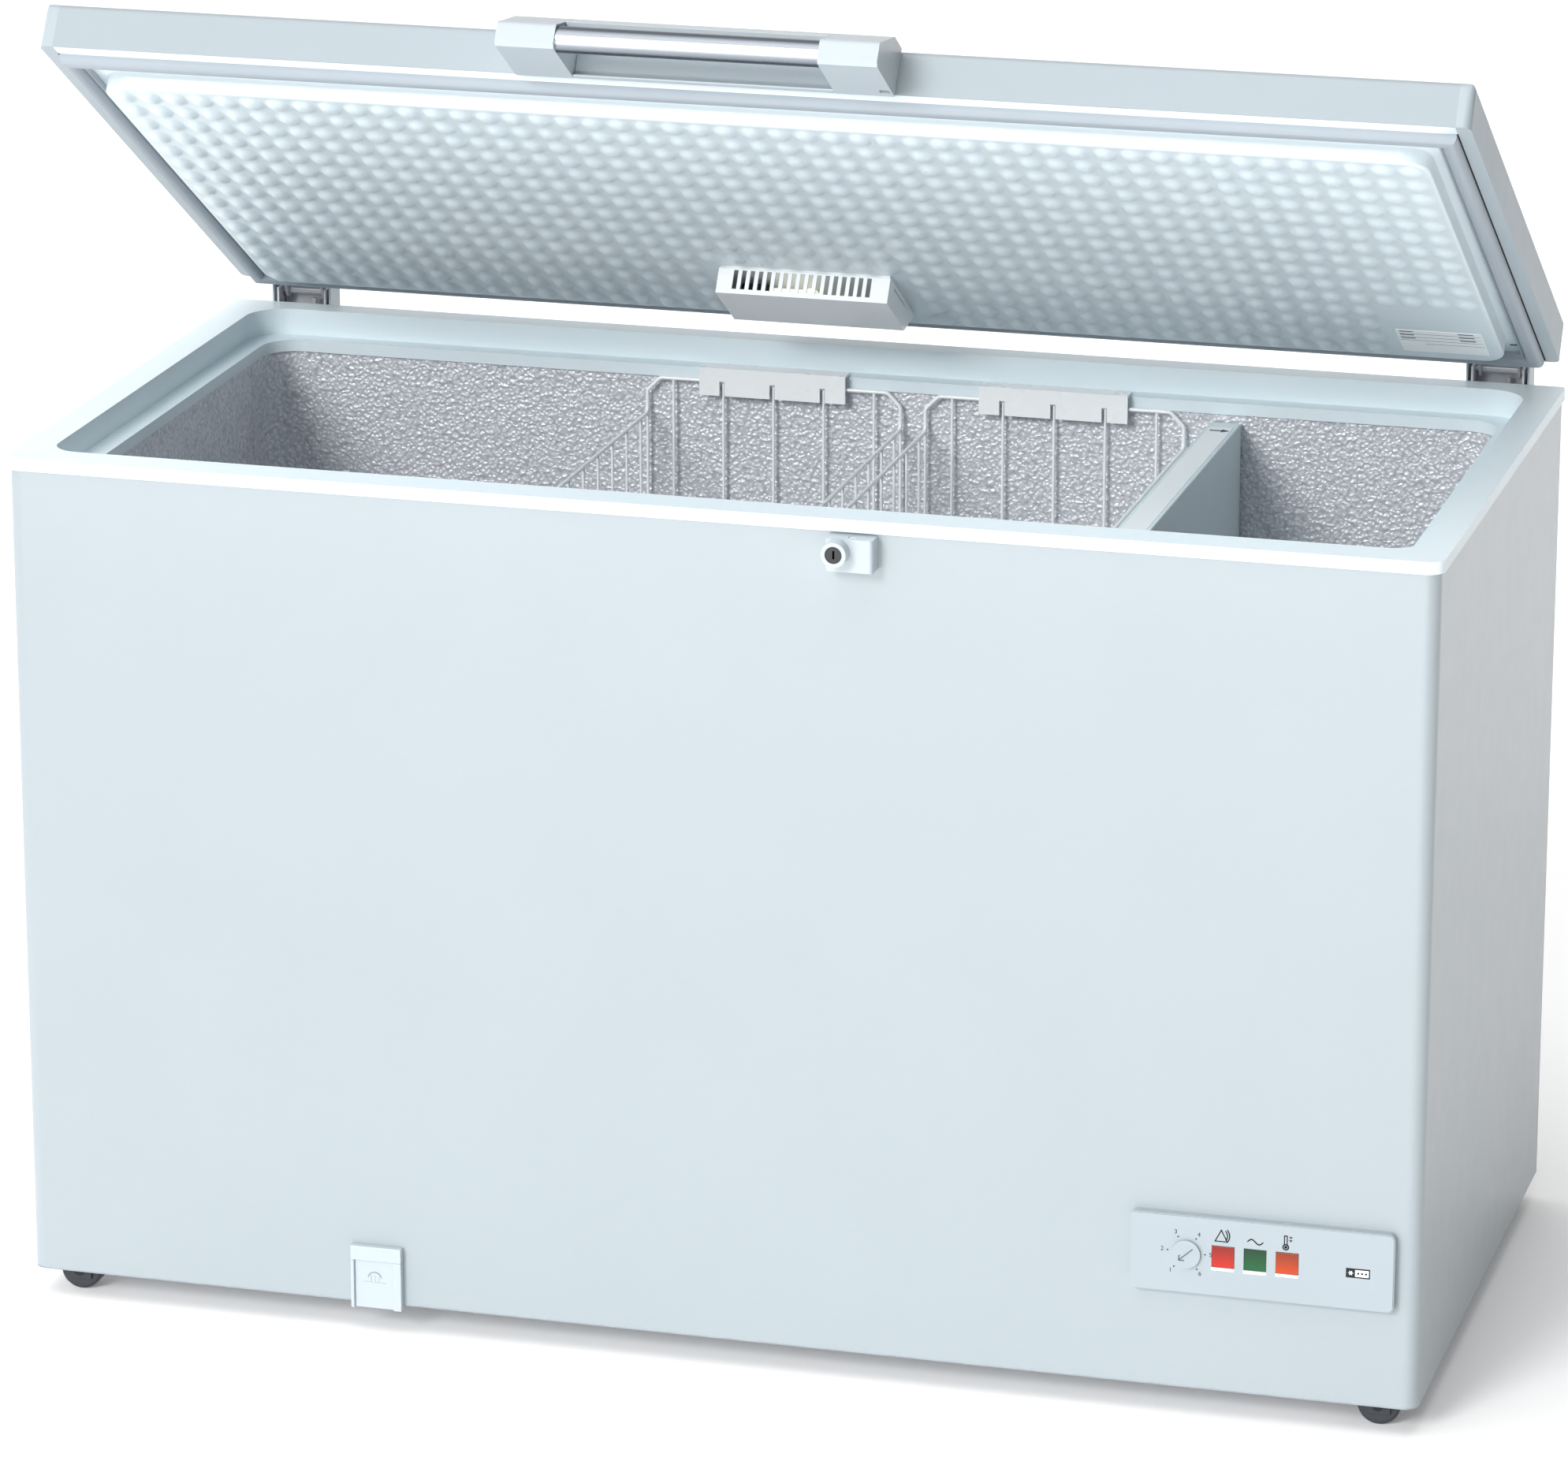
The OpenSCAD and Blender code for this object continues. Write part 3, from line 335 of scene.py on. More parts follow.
MATERIALS = {
    "body_paint": moulded("body_paint", (162, 172, 177), 0.35, **ENAMEL),
    "lid_paint": moulded("lid_paint", (158, 169, 175), 0.35, **ENAMEL),
    "grey_steel": worn_metal("galvanised", (176, 182, 188), 0.42),
    "black_steel": moulded("black_steel", (34, 35, 38), 0.45, grain=0.002, depth=0.00006),
    "foam": moulded("foam", (236, 222, 168), 0.95, grain=0.003, depth=0.0006, fade=14),
    "tub_aluminium": stucco_aluminium(),
    "white_plastic": moulded("white_plastic", (184, 194, 200), 0.38, coat=0.1, fade=3),
    "frame_plastic": moulded("frame_plastic", (228, 240, 245), 0.4, coat=0.1, fade=3),
    "liner_plastic": moulded("liner_plastic", (214, 226, 231), 0.34, coat=0.15, fade=3),
    "seal_rubber": moulded("seal_rubber", (160, 169, 177), 0.55, grain=0.0012, depth=0.00005),
    "dark_rubber": moulded("dark_rubber", (34, 34, 36), 0.8),
    "copper": worn_metal("copper", (190, 118, 76), 0.35),
    "zinc": worn_metal("zinc", (222, 224, 228), 0.45, 0.2),
    "bar_steel": brushed_steel("bar_steel", "handle_bar", 0.26, BAR_PAINTED_REFLECTION),
    "dark_plastic": moulded("dark_plastic", (30, 32, 36), 0.42),
    "castor_plastic": moulded("castor_plastic", (48, 52, 58), 0.5, fade=10),
    "panel_plastic": moulded("panel_plastic", (164, 174, 180), 0.42, fade=3),
    # Lens colours are given top first; the darker top is painted shade
    "red_lens": lens("red_lens", "alarm_button", (124, 22, 6), (190, 30, 8)),
    "green_lens": lens("green_lens", "power_lens", (0, 50, 24), (0, 88, 38)),
    "orange_lens": lens("orange_lens", "fast_freeze_button", (124, 42, 4), (190, 62, 4)),
    "lamp_plastic": moulded("lamp_plastic", (246, 250, 252), 0.3, coat=0.3, fade=2),
    "bulb_glass": lit(moulded("bulb_glass", BULB_COLOUR, 0.2, fade=2), BULB_COLOUR, 0.6),
    "cap_plastic": moulded("cap_plastic", (168, 179, 185), 0.45, fade=2),
    "label_film": moulded("label_film", (248, 252, 253), 0.3, fade=2),
    "wire_coating": moulded("wire_coating", (250, 252, 253), 0.28, coat=0.4, fade=2),
    "divider_plastic": moulded("divider_plastic", (226, 239, 242), 0.45, fade=6),
    "ink": moulded("ink", (24, 27, 32), 0.5, fade=4),
    "grey_ink": moulded("grey_ink", (50, 56, 64), 0.5, fade=4),
    "pale_ink": moulded("pale_ink", (92, 100, 110), 0.5, fade=4),
    # hollow: dark print for the star mark, and painted shade for the liner's slits and seams
    "hollow": moulded("hollow", (22, 26, 30), 0.8, fade=4),
}

# Width in metres to which each CAD node's edges are rounded; a node not listed keeps its edges.
ROUNDED = {
    "top_frame": 0.0026,
    "control_fascia": 0.0016,
    "control_knob": 0.0008,
    "alarm_button": 0.0008,
    "fast_freeze_button": 0.0008,
    "power_lens": 0.0004,
    "lock_housing": 0.0022,
    "lock_cylinder": 0.0006,
    "drain_cover": 0.0012,
    "drain_plug": 0.001,
    "castor_front_left": 0.0035,
    "castor_front_right": 0.0035,
    "castor_rear_left": 0.0035,
    "castor_rear_right": 0.0035,
    "castor_brackets": 0.0006,
    "hinge_covers": 0.0012,
    "hinge_bases": 0.0005,
    "hinge_arms": 0.0005,
    "lid_end_caps": 0.0014,
    "lamp_cover": 0.0012,
    "handle_ends": 0.003,
    "handle_plate": 0.0012,
    "basket_left_clips": 0.0009,
    "basket_right_clips": 0.0009,
    "divider": 0.0012,
    "compressor": 0.003,
    "start_relay": 0.002,
    "thermostat": 0.0015,
    "power_inlet": 0.001,
}

# CAD nodes that look different from the rest of their slot
OWN_LOOK = {
    "castor_brackets": "castor_plastic",
    "castor_axles": "dark_rubber",
    "lid_end_caps": "cap_plastic",
    "basket_left_clips": "wire_coating",
    "basket_right_clips": "wire_coating",
}


def tidy_normals(target):
    """Drops the normals stored on a CAD mesh, so that the modifiers' own are used."""
    with bpy.context.temp_override(object=target, active_object=target, selected_objects=[target]):
        if target.data.has_custom_normals:
            bpy.ops.mesh.customdata_custom_splitnormals_clear()


def rounded(target, width):
    """Rounds a CAD node's edges with modifiers, which leave its mesh as it is."""
    tidy_normals(target)
    for face in target.data.polygons:
        face.use_smooth = True
    weld = target.modifiers.new("weld", "WELD")
    weld.merge_threshold = 0.00001
    bevel = target.modifiers.new("bevel", "BEVEL")
    bevel.width = width
    bevel.segments = 3
    bevel.limit_method = "ANGLE"
    bevel.angle_limit = math.radians(40)
    bevel.harden_normals = True


def dress_cad_nodes():
    """Gives every CAD node its material, and rounds the edges of those listed."""
    slots = {row["node"]: row["material_slot"] for row in frame["record"]["subparts"]}
    for name, target in frame["nodes"].items():
        target.data.materials.clear()
        target.data.materials.append(MATERIALS[OWN_LOOK.get(name, slots[name])])
        if name in ROUNDED:
            rounded(target, ROUNDED[name])


# ---------------------------------------------------------------- mesh helpers


def piece(name, vertices, faces, body, material, smooth=True, sharp_angle=35):
    """Makes a mesh that rides on a body; edges sharper than the angle in degrees stay sharp."""
    mesh = bpy.data.meshes.new(name)
    mesh.from_pydata([tuple(v) for v in vertices], [], faces)
    mesh.update()
    made = bpy.data.objects.new(name, mesh)
    bpy.context.scene.collection.objects.link(made)
    mesh.materials.append(MATERIALS[material])
    if smooth:
        for face in mesh.polygons:
            face.use_smooth = True
        mesh.set_sharp_from_angle(angle=math.radians(sharp_angle))
    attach(made, body)
    return made


class Shape:
    """Collects vertices and faces of one mesh."""

    def __init__(self, turn=None):
        self.vertices = []
        self.faces = []
        self.turn = turn

    def add(self, points, faces):
        start = len(self.vertices)
        placed = [self.turn @ Vector(p) if self.turn else Vector(p) for p in points]
        self.vertices += placed
        self.faces += [tuple(start + i for i in face) for face in faces]

    def box(self, low, high):
        x, y, z = zip(low, high)
        corners = [(x[i & 1], y[i >> 1 & 1], z[i >> 2]) for i in range(8)]
        sides = [(0, 2, 3, 1), (4, 5, 7, 6), (0, 1, 5, 4), (2, 6, 7, 3), (0, 4, 6, 2), (1, 3, 7, 5)]
        self.add(corners, sides)

    def prism(self, outline, axis, low, high):
        """An outline in the plane across axis, drawn from low to high along it."""
        n = len(outline)
        ends = []
        for along in (low, high):
            for a, b in outline:
                point = [a, b]
                point.insert(axis, along)
                ends.append(point)
        sides = [(i, (i + 1) % n, n + (i + 1) % n, n + i) for i in range(n)]
        self.add(ends, [tuple(reversed(range(n))), tuple(range(n, 2 * n))] + sides)

    def tube(self, path, radius, sides=12, closed=False):
        """A round tube along a path."""
        points = [Vector(p) for p in path]
        count = len(points)
        rings = []
        across = None
        for i, here in enumerate(points):
            before = points[i - 1] if i or closed else here
            after = points[(i + 1) % count] if i < count - 1 or closed else here
            heading = (after - before).normalized()
            if across is None:
                across = heading.orthogonal().normalized()
            across = (across - heading * across.dot(heading)).normalized()
            other = heading.cross(across)
            ring = []
            for k in range(sides):
                angle = 2 * math.pi * k / sides
                ring.append(here + radius * (math.cos(angle) * across + math.sin(angle) * other))
            rings.append(ring)
        faces = []
        spans = count if closed else count - 1
        for i in range(spans):
            j = (i + 1) % count
            for k in range(sides):
                m = (k + 1) % sides
                faces.append((i * sides + k, i * sides + m, j * sides + m, j * sides + k))
        if not closed:
            faces.append(tuple(reversed(range(sides))))
            faces.append(tuple((count - 1) * sides + k for k in range(sides)))
        self.add([p for ring in rings for p in ring], faces)

    def stroke(self, path, width, low_y, high_y, closed=False):
        """A flat printed line in the XZ plane, between two depths."""
        points = [Vector((x, 0, z)) for x, z in path]
        count = len(points)
        for i in range(count if closed else count - 1):
            a, b = points[i], points[(i + 1) % count]
            ahead = (b - a).normalized() * width / 2
            side = Vector((-ahead.z, 0, ahead.x))
            corners = [a - ahead - side, b + ahead - side, b + ahead + side, a - ahead + side]
            self.prism([(c.x, c.z) for c in corners], 1, low_y, high_y)


def bent(points, radius, steps=5, closed=False):
    """A path whose corners are rounded to a radius."""
    points = [Vector(p) for p in points]
    count = len(points)
    path = []
    for i, corner in enumerate(points):
        if not closed and i in (0, count - 1):
            path.append(corner)
            continue
        before = (points[i - 1] - corner).normalized()
        after = (points[(i + 1) % count] - corner).normalized()
        half = before.angle(after) / 2
        if half > math.radians(89):
            path.append(corner)
            continue
        reach = radius / math.tan(half)
        start = corner + before * reach
        end = corner + after * reach
        centre = corner + (before + after).normalized() * radius / math.sin(half)
        for k in range(steps + 1):
            spoke = (start - centre).normalized().slerp((end - centre).normalized(), k / steps)
            path.append(centre + spoke * (start - centre).length)
    return path


def circle(x, z, radius, steps=32, start=0.0, sweep=360.0):
    """Points of a circle or arc in the XZ plane."""
    whole = sweep == 360.0
    count = steps if whole else steps + 1
    turn = [math.radians(start + sweep * k / steps) for k in range(count)]
    return [(x + radius * math.cos(a), z + radius * math.sin(a)) for a in turn]


# ---------------------------------------------------------------- lid

LID_EDGE = closed_box("lid_liner")
TRAY_FACE = LID_EDGE[0].z
FLANGE = closed_box("lid_gasket")[1].z
DIMPLE_COLUMNS = 49
DIMPLE_ROWS = 15
DIMPLE_RISE = 0.0046
DIMPLE_STEPS = (8, 10)  # mesh cells across one dimple's pitch, in X and Y
DIMPLE_EDGE = (0.0185, 0.022)  # from the tray's sides to the first dimple's centre
DIMPLE_HALF = (0.38, 0.37)  # half of a dimple, as a share of its pitch
DIMPLE_CROWN = 0.55  # below 1 the dimple is flatter on top
LAMP_MARGIN = 0.014  # plain border round the lamp
MARGIN_STEPS = 6
EDGE_ROUND = 0.0034
EDGE_STEPS = 5
FOOT_ROUND = 0.0015
CORNER_STEPS = 8
LABEL_COLUMNS = 4
LABEL_ROWS = 4


def tray_outline():
    """The tray's half width, front, back and corner radius, read off the liner's proud face."""
    face = [
        CLOSE_LID @ v.co for v in frame["nodes"]["lid_liner"].data.vertices
        if abs((CLOSE_LID @ v.co).z - TRAY_FACE) < 0.0002
    ]
    half = max(v.x for v in face)
    front = min(v.y for v in face)
    back = max(v.y for v in face)
    radius = half - max(v.x for v in face if v.y < front + 0.0001)
    return half, front, back, radius


def dimple_rise(x, y, half, front, back, lamp):
    """How far the liner's face stands out at a point."""
    edge_x, edge_y = DIMPLE_EDGE
    pitch_x = 2 * (half - edge_x) / (DIMPLE_COLUMNS - 1)
    pitch_y = (back - front - 2 * edge_y) / (DIMPLE_ROWS - 1)
    column = round((x + half - edge_x) / pitch_x)
    row = round((y - front - edge_y) / pitch_y)
    if not (0 <= column < DIMPLE_COLUMNS and 0 <= row < DIMPLE_ROWS):
        return 0.0
    if column >= DIMPLE_COLUMNS - LABEL_COLUMNS and row >= DIMPLE_ROWS - LABEL_ROWS:
        return 0.0
    centre_x = -half + edge_x + column * pitch_x
    centre_y = front + edge_y + row * pitch_y
    beside_lamp = lamp[0].x - LAMP_MARGIN < centre_x < lamp[1].x + LAMP_MARGIN
    if beside_lamp and centre_y > lamp[0].y - LAMP_MARGIN:
        return 0.0
    across = (x - centre_x) / (pitch_x * DIMPLE_HALF[0])
    along = (y - centre_y) / (pitch_y * DIMPLE_HALF[1])
    inside = 1 - across * across - along * along
    return DIMPLE_RISE * inside**DIMPLE_CROWN if inside > 0 else 0.0


def border_walk(columns, rows):
    """A grid's border walked once round: column, row and outward direction, with arcs at corners."""
    sides = (
        [(i, 0) for i in range(columns + 1)],
        [(columns, j) for j in range(rows + 1)],
        [(columns - i, rows) for i in range(columns + 1)],
        [(0, rows - j) for j in range(rows + 1)],
    )
    outward = ((0, -1), (1, 0), (0, 1), (-1, 0))
    border = []
    for k, side in enumerate(sides):
        border += [(i, j, *outward[k]) for i, j in side]
        turns = [math.radians(90 * (k - 1 + n / CORNER_STEPS)) for n in range(1, CORNER_STEPS)]
        border += [(*side[-1], math.cos(t), math.sin(t)) for t in turns]
    return border


def tray_steps(radius, wall):
    """Reach and lift of each loop round the tray: its margin, its rounded edge, its wall."""
    steps = [((radius - EDGE_ROUND) * k / MARGIN_STEPS, None) for k in range(1, MARGIN_STEPS + 1)]
    for k in range(1, EDGE_STEPS + 1):
        turn = math.radians(90 * k / EDGE_STEPS)
        reach = radius - EDGE_ROUND + EDGE_ROUND * math.sin(turn)
        steps.append((reach, EDGE_ROUND * (1 - math.cos(turn))))
    steps.append((radius, wall - FOOT_ROUND))
    steps.append((radius + FOOT_ROUND, wall))
    return steps


def lid_liner():
    """The vacuum-formed inner liner: a flange, a proud tray with rounded walls, oval dimples."""
    half, front, back, radius = tray_outline()
    lamp = closed_box("lamp_base")
    outer = closed_box("lid_liner")
    columns = DIMPLE_COLUMNS * DIMPLE_STEPS[0]
    rows = DIMPLE_ROWS * DIMPLE_STEPS[1]
    pitch_x = 2 * (half - radius) / columns
    pitch_y = (back - front - 2 * radius) / rows

    def spot(x, y):
        return (x, y, TRAY_FACE - dimple_rise(x, y, half, front, back, lamp))

    grid = []
    for j in range(rows + 1):
        for i in range(columns + 1):
            grid.append(spot(-half + radius + i * pitch_x, front + radius + j * pitch_y))
    faces = []
    wide = columns + 1
    for j in range(rows):
        for i in range(columns):
            a = j * wide + i
            faces.append((a, a + wide, a + wide + 1, a + 1))

    border = border_walk(columns, rows)
    vertices = list(grid)
    previous = [j * wide + i for i, j, _, _ in border]
    for reach, lift in tray_steps(radius, FLANGE - TRAY_FACE):
        current = []
        for i, j, nx, ny in border:
            base = grid[j * wide + i]
            x, y = base[0] + nx * reach, base[1] + ny * reach
            current.append(len(vertices))
            vertices.append(spot(x, y) if lift is None else (x, y, TRAY_FACE + lift))
        faces += ring_faces(previous, current)
        previous = current

    # the flange, out to the liner's rectangle
    current = []
    for i, j, nx, ny in border:
        base = grid[j * wide + i]
        corner = (outer[nx > 0].x, outer[ny > 0].y)
        part = min(abs(nx), abs(ny)) / max(abs(nx), abs(ny))
        x = corner[0] if abs(nx) > abs(ny) else base[0] + (corner[0] - base[0]) * part
        y = corner[1] if abs(ny) >= abs(nx) else base[1] + (corner[1] - base[1]) * part
        current.append(len(vertices))
        vertices.append((x, y, FLANGE))
    faces += ring_faces(previous, current)
    placed = [OPEN_LID @ Vector(v) for v in vertices]
    made = piece("lid_liner_dimpled", placed, faces, "lid", "liner_plastic", sharp_angle=60)
    shell = made.modifiers.new("thickness", "SOLIDIFY")
    shell.thickness = 0.0012
    shell.offset = -1
    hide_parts("lid_liner")


def ring_faces(inner, outer):
    """Quads between two closed loops of vertex numbers, leaving out those that have no width."""
    count = len(inner)
    faces = []
    for k in range(count):
        m = (k + 1) % count
        corners = [inner[k], inner[m], outer[m], outer[k]]
        kept = [c for n, c in enumerate(corners) if c not in corners[:n]]
        if len(kept) > 2:
            faces.append(tuple(kept))
    return faces


def lid_gasket():
    """The magnetic seal: a bulb with a folded lip, mitred and welded at the corners."""
    low, high = closed_box("lid_gasket")
    top = high.z
    width, tall = 0.021, high.z - low.z
    bulb_width, side_gap = 0.0160, 0.0006
    # points across the seal: distance in from its outer edge, and distance down from the flange
    profile = [(side_gap, 0.0)]
    for turn in range(0, 181, 15):
        u = bulb_width * (0.5 - 0.5 * math.cos(math.radians(turn)))
        profile.append((u + side_gap, tall * (0.25 + 0.75 * math.sin(math.radians(turn)))))
    profile += [(0.0172, tall * 0.34), (0.0186, tall * 0.46), (0.0202, tall * 0.40)]
    profile += [(width, tall * 0.2), (width, 0.0)]
    vertices = []
    for u, down in profile:
        z = top - down
        vertices += [
            (low.x + u, low.y + u, z), (high.x - u, low.y + u, z),
            (high.x - u, high.y - u, z), (low.x + u, high.y - u, z),
        ]
    faces = []
    count = len(profile)
    for k in range(count):
        m = (k + 1) % count
        for side in range(4):
            n = (side + 1) % 4
            faces.append((k * 4 + side, k * 4 + n, m * 4 + n, m * 4 + side))
    placed = [OPEN_LID @ Vector(v) for v in vertices]
    made = piece("lid_seal", placed, faces, "lid", "seal_rubber", sharp_angle=50)
    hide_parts("lid_gasket")


def corner_slits():
    """Short dark strips in the flange at the tray's rear corners, and along its seams at both ends: painted shade
    standing for the slits and seams.
    """
    half, _, back, _ = tray_outline()
    shape = Shape(OPEN_LID)
    for side in (-1, 1):
        x = sorted((side * (half + 0.002), side * (half + 0.009)))
        shape.box((x[0], back - 0.006, FLANGE - 0.0004), (x[1], back - 0.0035, FLANGE + 0.0004))
        seam = closed_box("lid_liner")[1].x
        x = sorted((side * (seam - 0.0012), side * (seam + 0.0006)))
        ends = closed_box("lid_gasket")
        shape.box((x[0], ends[0].y, FLANGE - 0.0003), (x[1], ends[1].y, FLANGE + 0.0003))
    # the dark boxes are painted shade of the slits and seams, not cut openings
    piece("liner_slits", shape.vertices, shape.faces, "lid", "hollow", smooth=False)


def rating_label_print():
    """Blank lines and bars on the rating label, with no words."""
    low, high = closed_box("rating_label")
    shape = Shape(OPEN_LID)
    z = (low.z - 0.00012, low.z)
    wide, deep = high.x - low.x, high.y - low.y
    for k, (start, end) in enumerate([(0.02, 0.98), (0.02, 0.98), (0.02, 0.98), (0.3, 0.98)]):
        y = low.y + deep * (0.16 + 0.15 * k)
        shape.box((low.x + wide * start, y, z[0]), (low.x + wide * end, y + 0.0005, z[1]))
    for k in range(3):
        y = low.y + deep * (0.05 + 0.15 * k)
        for start, end in ((0.04, 0.2), (0.72, 0.9)):
            shape.box((low.x + wide * start, y, z[0]), (low.x + wide * end, y + 0.0022, z[1]))
    piece("label_lines", shape.vertices, shape.faces, "lid", "grey_ink", smooth=False)


# ---------------------------------------------------------------- hinges


# From a hinge cover's outer side to its middle
HINGE_HALF = 0.032


def hinge_springs():
    """Wound springs and their guide rods in the two hinges."""
    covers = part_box("hinge_covers")
    low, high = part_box("hinge_springs")
    y = LID_AXIS.y
    centre = covers[1].x - HINGE_HALF
    radius, wire, turns, steps = 0.007, 0.0016, 26, 14
    offset = 0.009
    coil_low = low.z + 0.012 + wire
    coil_tall = high.z - low.z - 0.032
    shape = Shape()
    for x in (-centre, centre):
        coil_x = x - offset
        path = []
        for k in range(turns * steps + 1):
            turn = 2 * math.pi * k / steps
            z = coil_low + coil_tall * k / (turns * steps)
            path.append((coil_x + radius * math.cos(turn), y + radius * math.sin(turn), z))
        shape.tube(path, wire, 8)
        shape.tube([(coil_x, y, low.z), (coil_x, y, high.z - 0.014)], 0.003, 14)
        shape.tube([(x + offset, y, low.z), (x + offset, y, high.z)], 0.0025, 14)
        for z in (low.z + 0.004, high.z - 0.016):
            shape.tube([(coil_x, y, z), (coil_x, y, z + 0.004)], 0.0092, 20)
    made = piece("hinge_coils", shape.vertices, shape.faces, "cabinet", "zinc", sharp_angle=50)
    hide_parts("hinge_springs")


# ---------------------------------------------------------------- baskets

WIRE = 0.002
FINE_WIRE = 0.0015
BASKET_PITCH = (0.053, 0.05)
RIM_DIP = 0.038
RIM_SLOPE = 0.014
RIM_BEND = 0.008
WIRE_BEND = 0.01


def basket(node):
    """One wire basket: a rim that is higher at its ends, and wires both ways."""
    low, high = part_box(node)
    x = (low.x + WIRE, high.x - WIRE)
    y = (low.y + WIRE, high.y - WIRE)
    top = high.z - WIRE
    side = top - RIM_DIP
    floor = low.z + 2 * FINE_WIRE
    centre_x = (x[0] + x[1]) / 2
    shape = Shape()
    rim = []
    for end, (start_x, stop_x) in ((0, x), (1, (x[1], x[0]))):
        inward = RIM_SLOPE if stop_x > start_x else -RIM_SLOPE
        rim += [
            (start_x, y[end], side),
            (start_x, y[end], top - RIM_SLOPE),
            (start_x + inward, y[end], top),
            (stop_x - inward, y[end], top),
            (stop_x, y[end], top - RIM_SLOPE),
            (stop_x, y[end], side),
        ]
    shape.tube(bent(rim, RIM_BEND, closed=True), WIRE, 14, closed=True)
    for k in range(-2, 3):
        wx = centre_x + k * BASKET_PITCH[0]
        run = [(wx, y[0], top), (wx, y[0], floor), (wx, y[1], floor), (wx, y[1], top)]
        shape.tube(bent(run, WIRE_BEND), FINE_WIRE, 10)
    for k in range(-5, 6):
        wy = (y[0] + y[1]) / 2 + k * BASKET_PITCH[1]
        under = floor - FINE_WIRE
        run = [(x[0], wy, side), (x[0], wy, under), (x[1], wy, under), (x[1], wy, side)]
        shape.tube(bent(run, WIRE_BEND), FINE_WIRE, 10)
    for end in (0, 1):
        for wx in x:
            shape.tube([(wx, y[end], side + 0.006), (wx, y[end], floor)], FINE_WIRE, 10)
    made = piece(node + "_wires", shape.vertices, shape.faces, node, "wire_coating", sharp_angle=60)
    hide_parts(node)


def divider_label():
    """The strip on the divider's top edge, with an arrow at each end and no words."""
    low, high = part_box("divider")
    strip = Shape()
    front = low.y + 0.098
    inset = 0.004
    strip.box((low.x + inset, front, high.z), (high.x - inset, high.y - 0.02, high.z + 0.0004))
    piece("divider_strip", strip.vertices, strip.faces, "divider", "label_film", smooth=False)
    arrows = Shape()
    z = (high.z + 0.0004, high.z + 0.0006)
    middle_x = (low.x + high.x) / 2
    for y in (front + 0.012, high.y - 0.034):
        tail, neck, tip = middle_x - 0.009, middle_x + 0.003, middle_x + 0.011
        thick, wide = 0.0016, 0.0056
        shaft = [(tail, y - thick), (neck, y - thick), (neck, y + thick), (tail, y + thick)]
        arrows.prism(shaft, 2, *z)
        arrows.prism([(neck, y - wide), (tip, y), (neck, y + wide)], 2, *z)
    piece("divider_arrows", arrows.vertices, arrows.faces, "divider", "ink", smooth=False)


# ---------------------------------------------------------------- control panel

PRINT = 0.00015  # thickness of printed marks
NUMERAL_RING = 0.0235
NUMERAL_SIZE = 0.0062
DOT_RING = 0.0182
KNOB_TURN = math.radians(222)  # where the pointer stands


def panel_front():
    """The depth of the control panel's face."""
    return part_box("control_fascia")[0].y


def centre_of(node):
    """The middle of a CAD node's box."""
    low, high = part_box(node)
    return (low + high) / 2


def panel_symbols():
    """The signs over the buttons: a triangle with sound, a mains wave, a cold thermometer."""
    shape = Shape()
    face = panel_front()
    depths = (face - PRINT, face)
    line = 0.0011
    rise = 0.0208

    def draw(path, closed=False):
        shape.stroke(path, line, *depths, closed=closed)

    alarm = centre_of("alarm_button")
    x, z = alarm.x - 0.0012, alarm.z + rise
    triangle = [(x - 0.0066, z - 0.0052), (x + 0.0050, z - 0.0052), (x - 0.0008, z + 0.0062)]
    draw(triangle, closed=True)
    for k in (0, 1):
        draw(circle(x - 0.0022, z + 0.0006, 0.0074 + 0.0021 * k, 6, -34, 74))
    wave = centre_of("power_lens")
    z = wave.z + rise - 0.0025
    steps, wide, tall = 16, 0.0146, 0.0024
    ripple = []
    for k in range(steps + 1):
        height = tall * math.sin(2 * math.pi * k / steps)
        ripple.append((wave.x + wide * (k / steps - 0.5), z + height))
    draw(ripple)
    cold = centre_of("fast_freeze_button")
    x, z = cold.x - 0.0016, cold.z + rise
    draw(circle(x, z - 0.0046, 0.0026, 20), closed=True)
    draw(circle(x, z - 0.0046, 0.0008, 12), closed=True)
    left, right, foot, head = x - 0.0013, x + 0.0013, z - 0.0024, z + 0.0066
    draw([(left, foot), (left, head), (right, head), (right, foot)])
    for low in (z + 0.0008, z + 0.0040):
        chevron = [(x + 0.0030, low + 0.0022), (x + 0.0048, low), (x + 0.0066, low + 0.0022)]
        shape.prism(chevron, 1, *depths)
    piece("panel_signs", shape.vertices, shape.faces, "cabinet", "ink", smooth=False)


def digit(character, x, z, size, face):
    """One numeral lying on the panel, as a mesh piece."""
    text = bpy.data.curves.new("digit", "FONT")
    text.body = character
    text.size = size
    text.align_x = "CENTER"
    text.align_y = "CENTER"
    text.extrude = PRINT / 2
    holder = bpy.data.objects.new("digit", text)
    bpy.context.scene.collection.objects.link(holder)
    bpy.context.view_layer.update()
    solid = holder.evaluated_get(bpy.context.evaluated_depsgraph_get())
    mesh = bpy.data.meshes.new_from_object(solid)
    bpy.data.objects.remove(holder)
    place = Matrix.Translation((x, face - PRINT / 2, z)) @ Matrix.Rotation(math.pi / 2, 4, "X")
    return [place @ v.co for v in mesh.vertices], [tuple(p.vertices) for p in mesh.polygons]


def dial_marks():
    """Numerals and dots round the thermostat knob."""
    knob = centre_of("control_knob")
    face = panel_front()
    numerals, dots = Shape(), Shape()
    for k in range(6):
        angle = math.radians(230 - 57 * k)
        along, up = math.cos(angle), math.sin(angle)
        place = (knob.x + NUMERAL_RING * along, knob.z + NUMERAL_RING * up)
        numerals.add(*digit(str(k + 1), *place, NUMERAL_SIZE, face))
        spot = circle(knob.x + DOT_RING * along, knob.z + DOT_RING * up, 0.0008, 12)
        dots.prism(spot, 1, face - PRINT, face)
    piece("dial_numerals", numerals.vertices, numerals.faces, "cabinet", "ink", smooth=False)
    piece("dial_dots", dots.vertices, dots.faces, "cabinet", "ink", smooth=False)


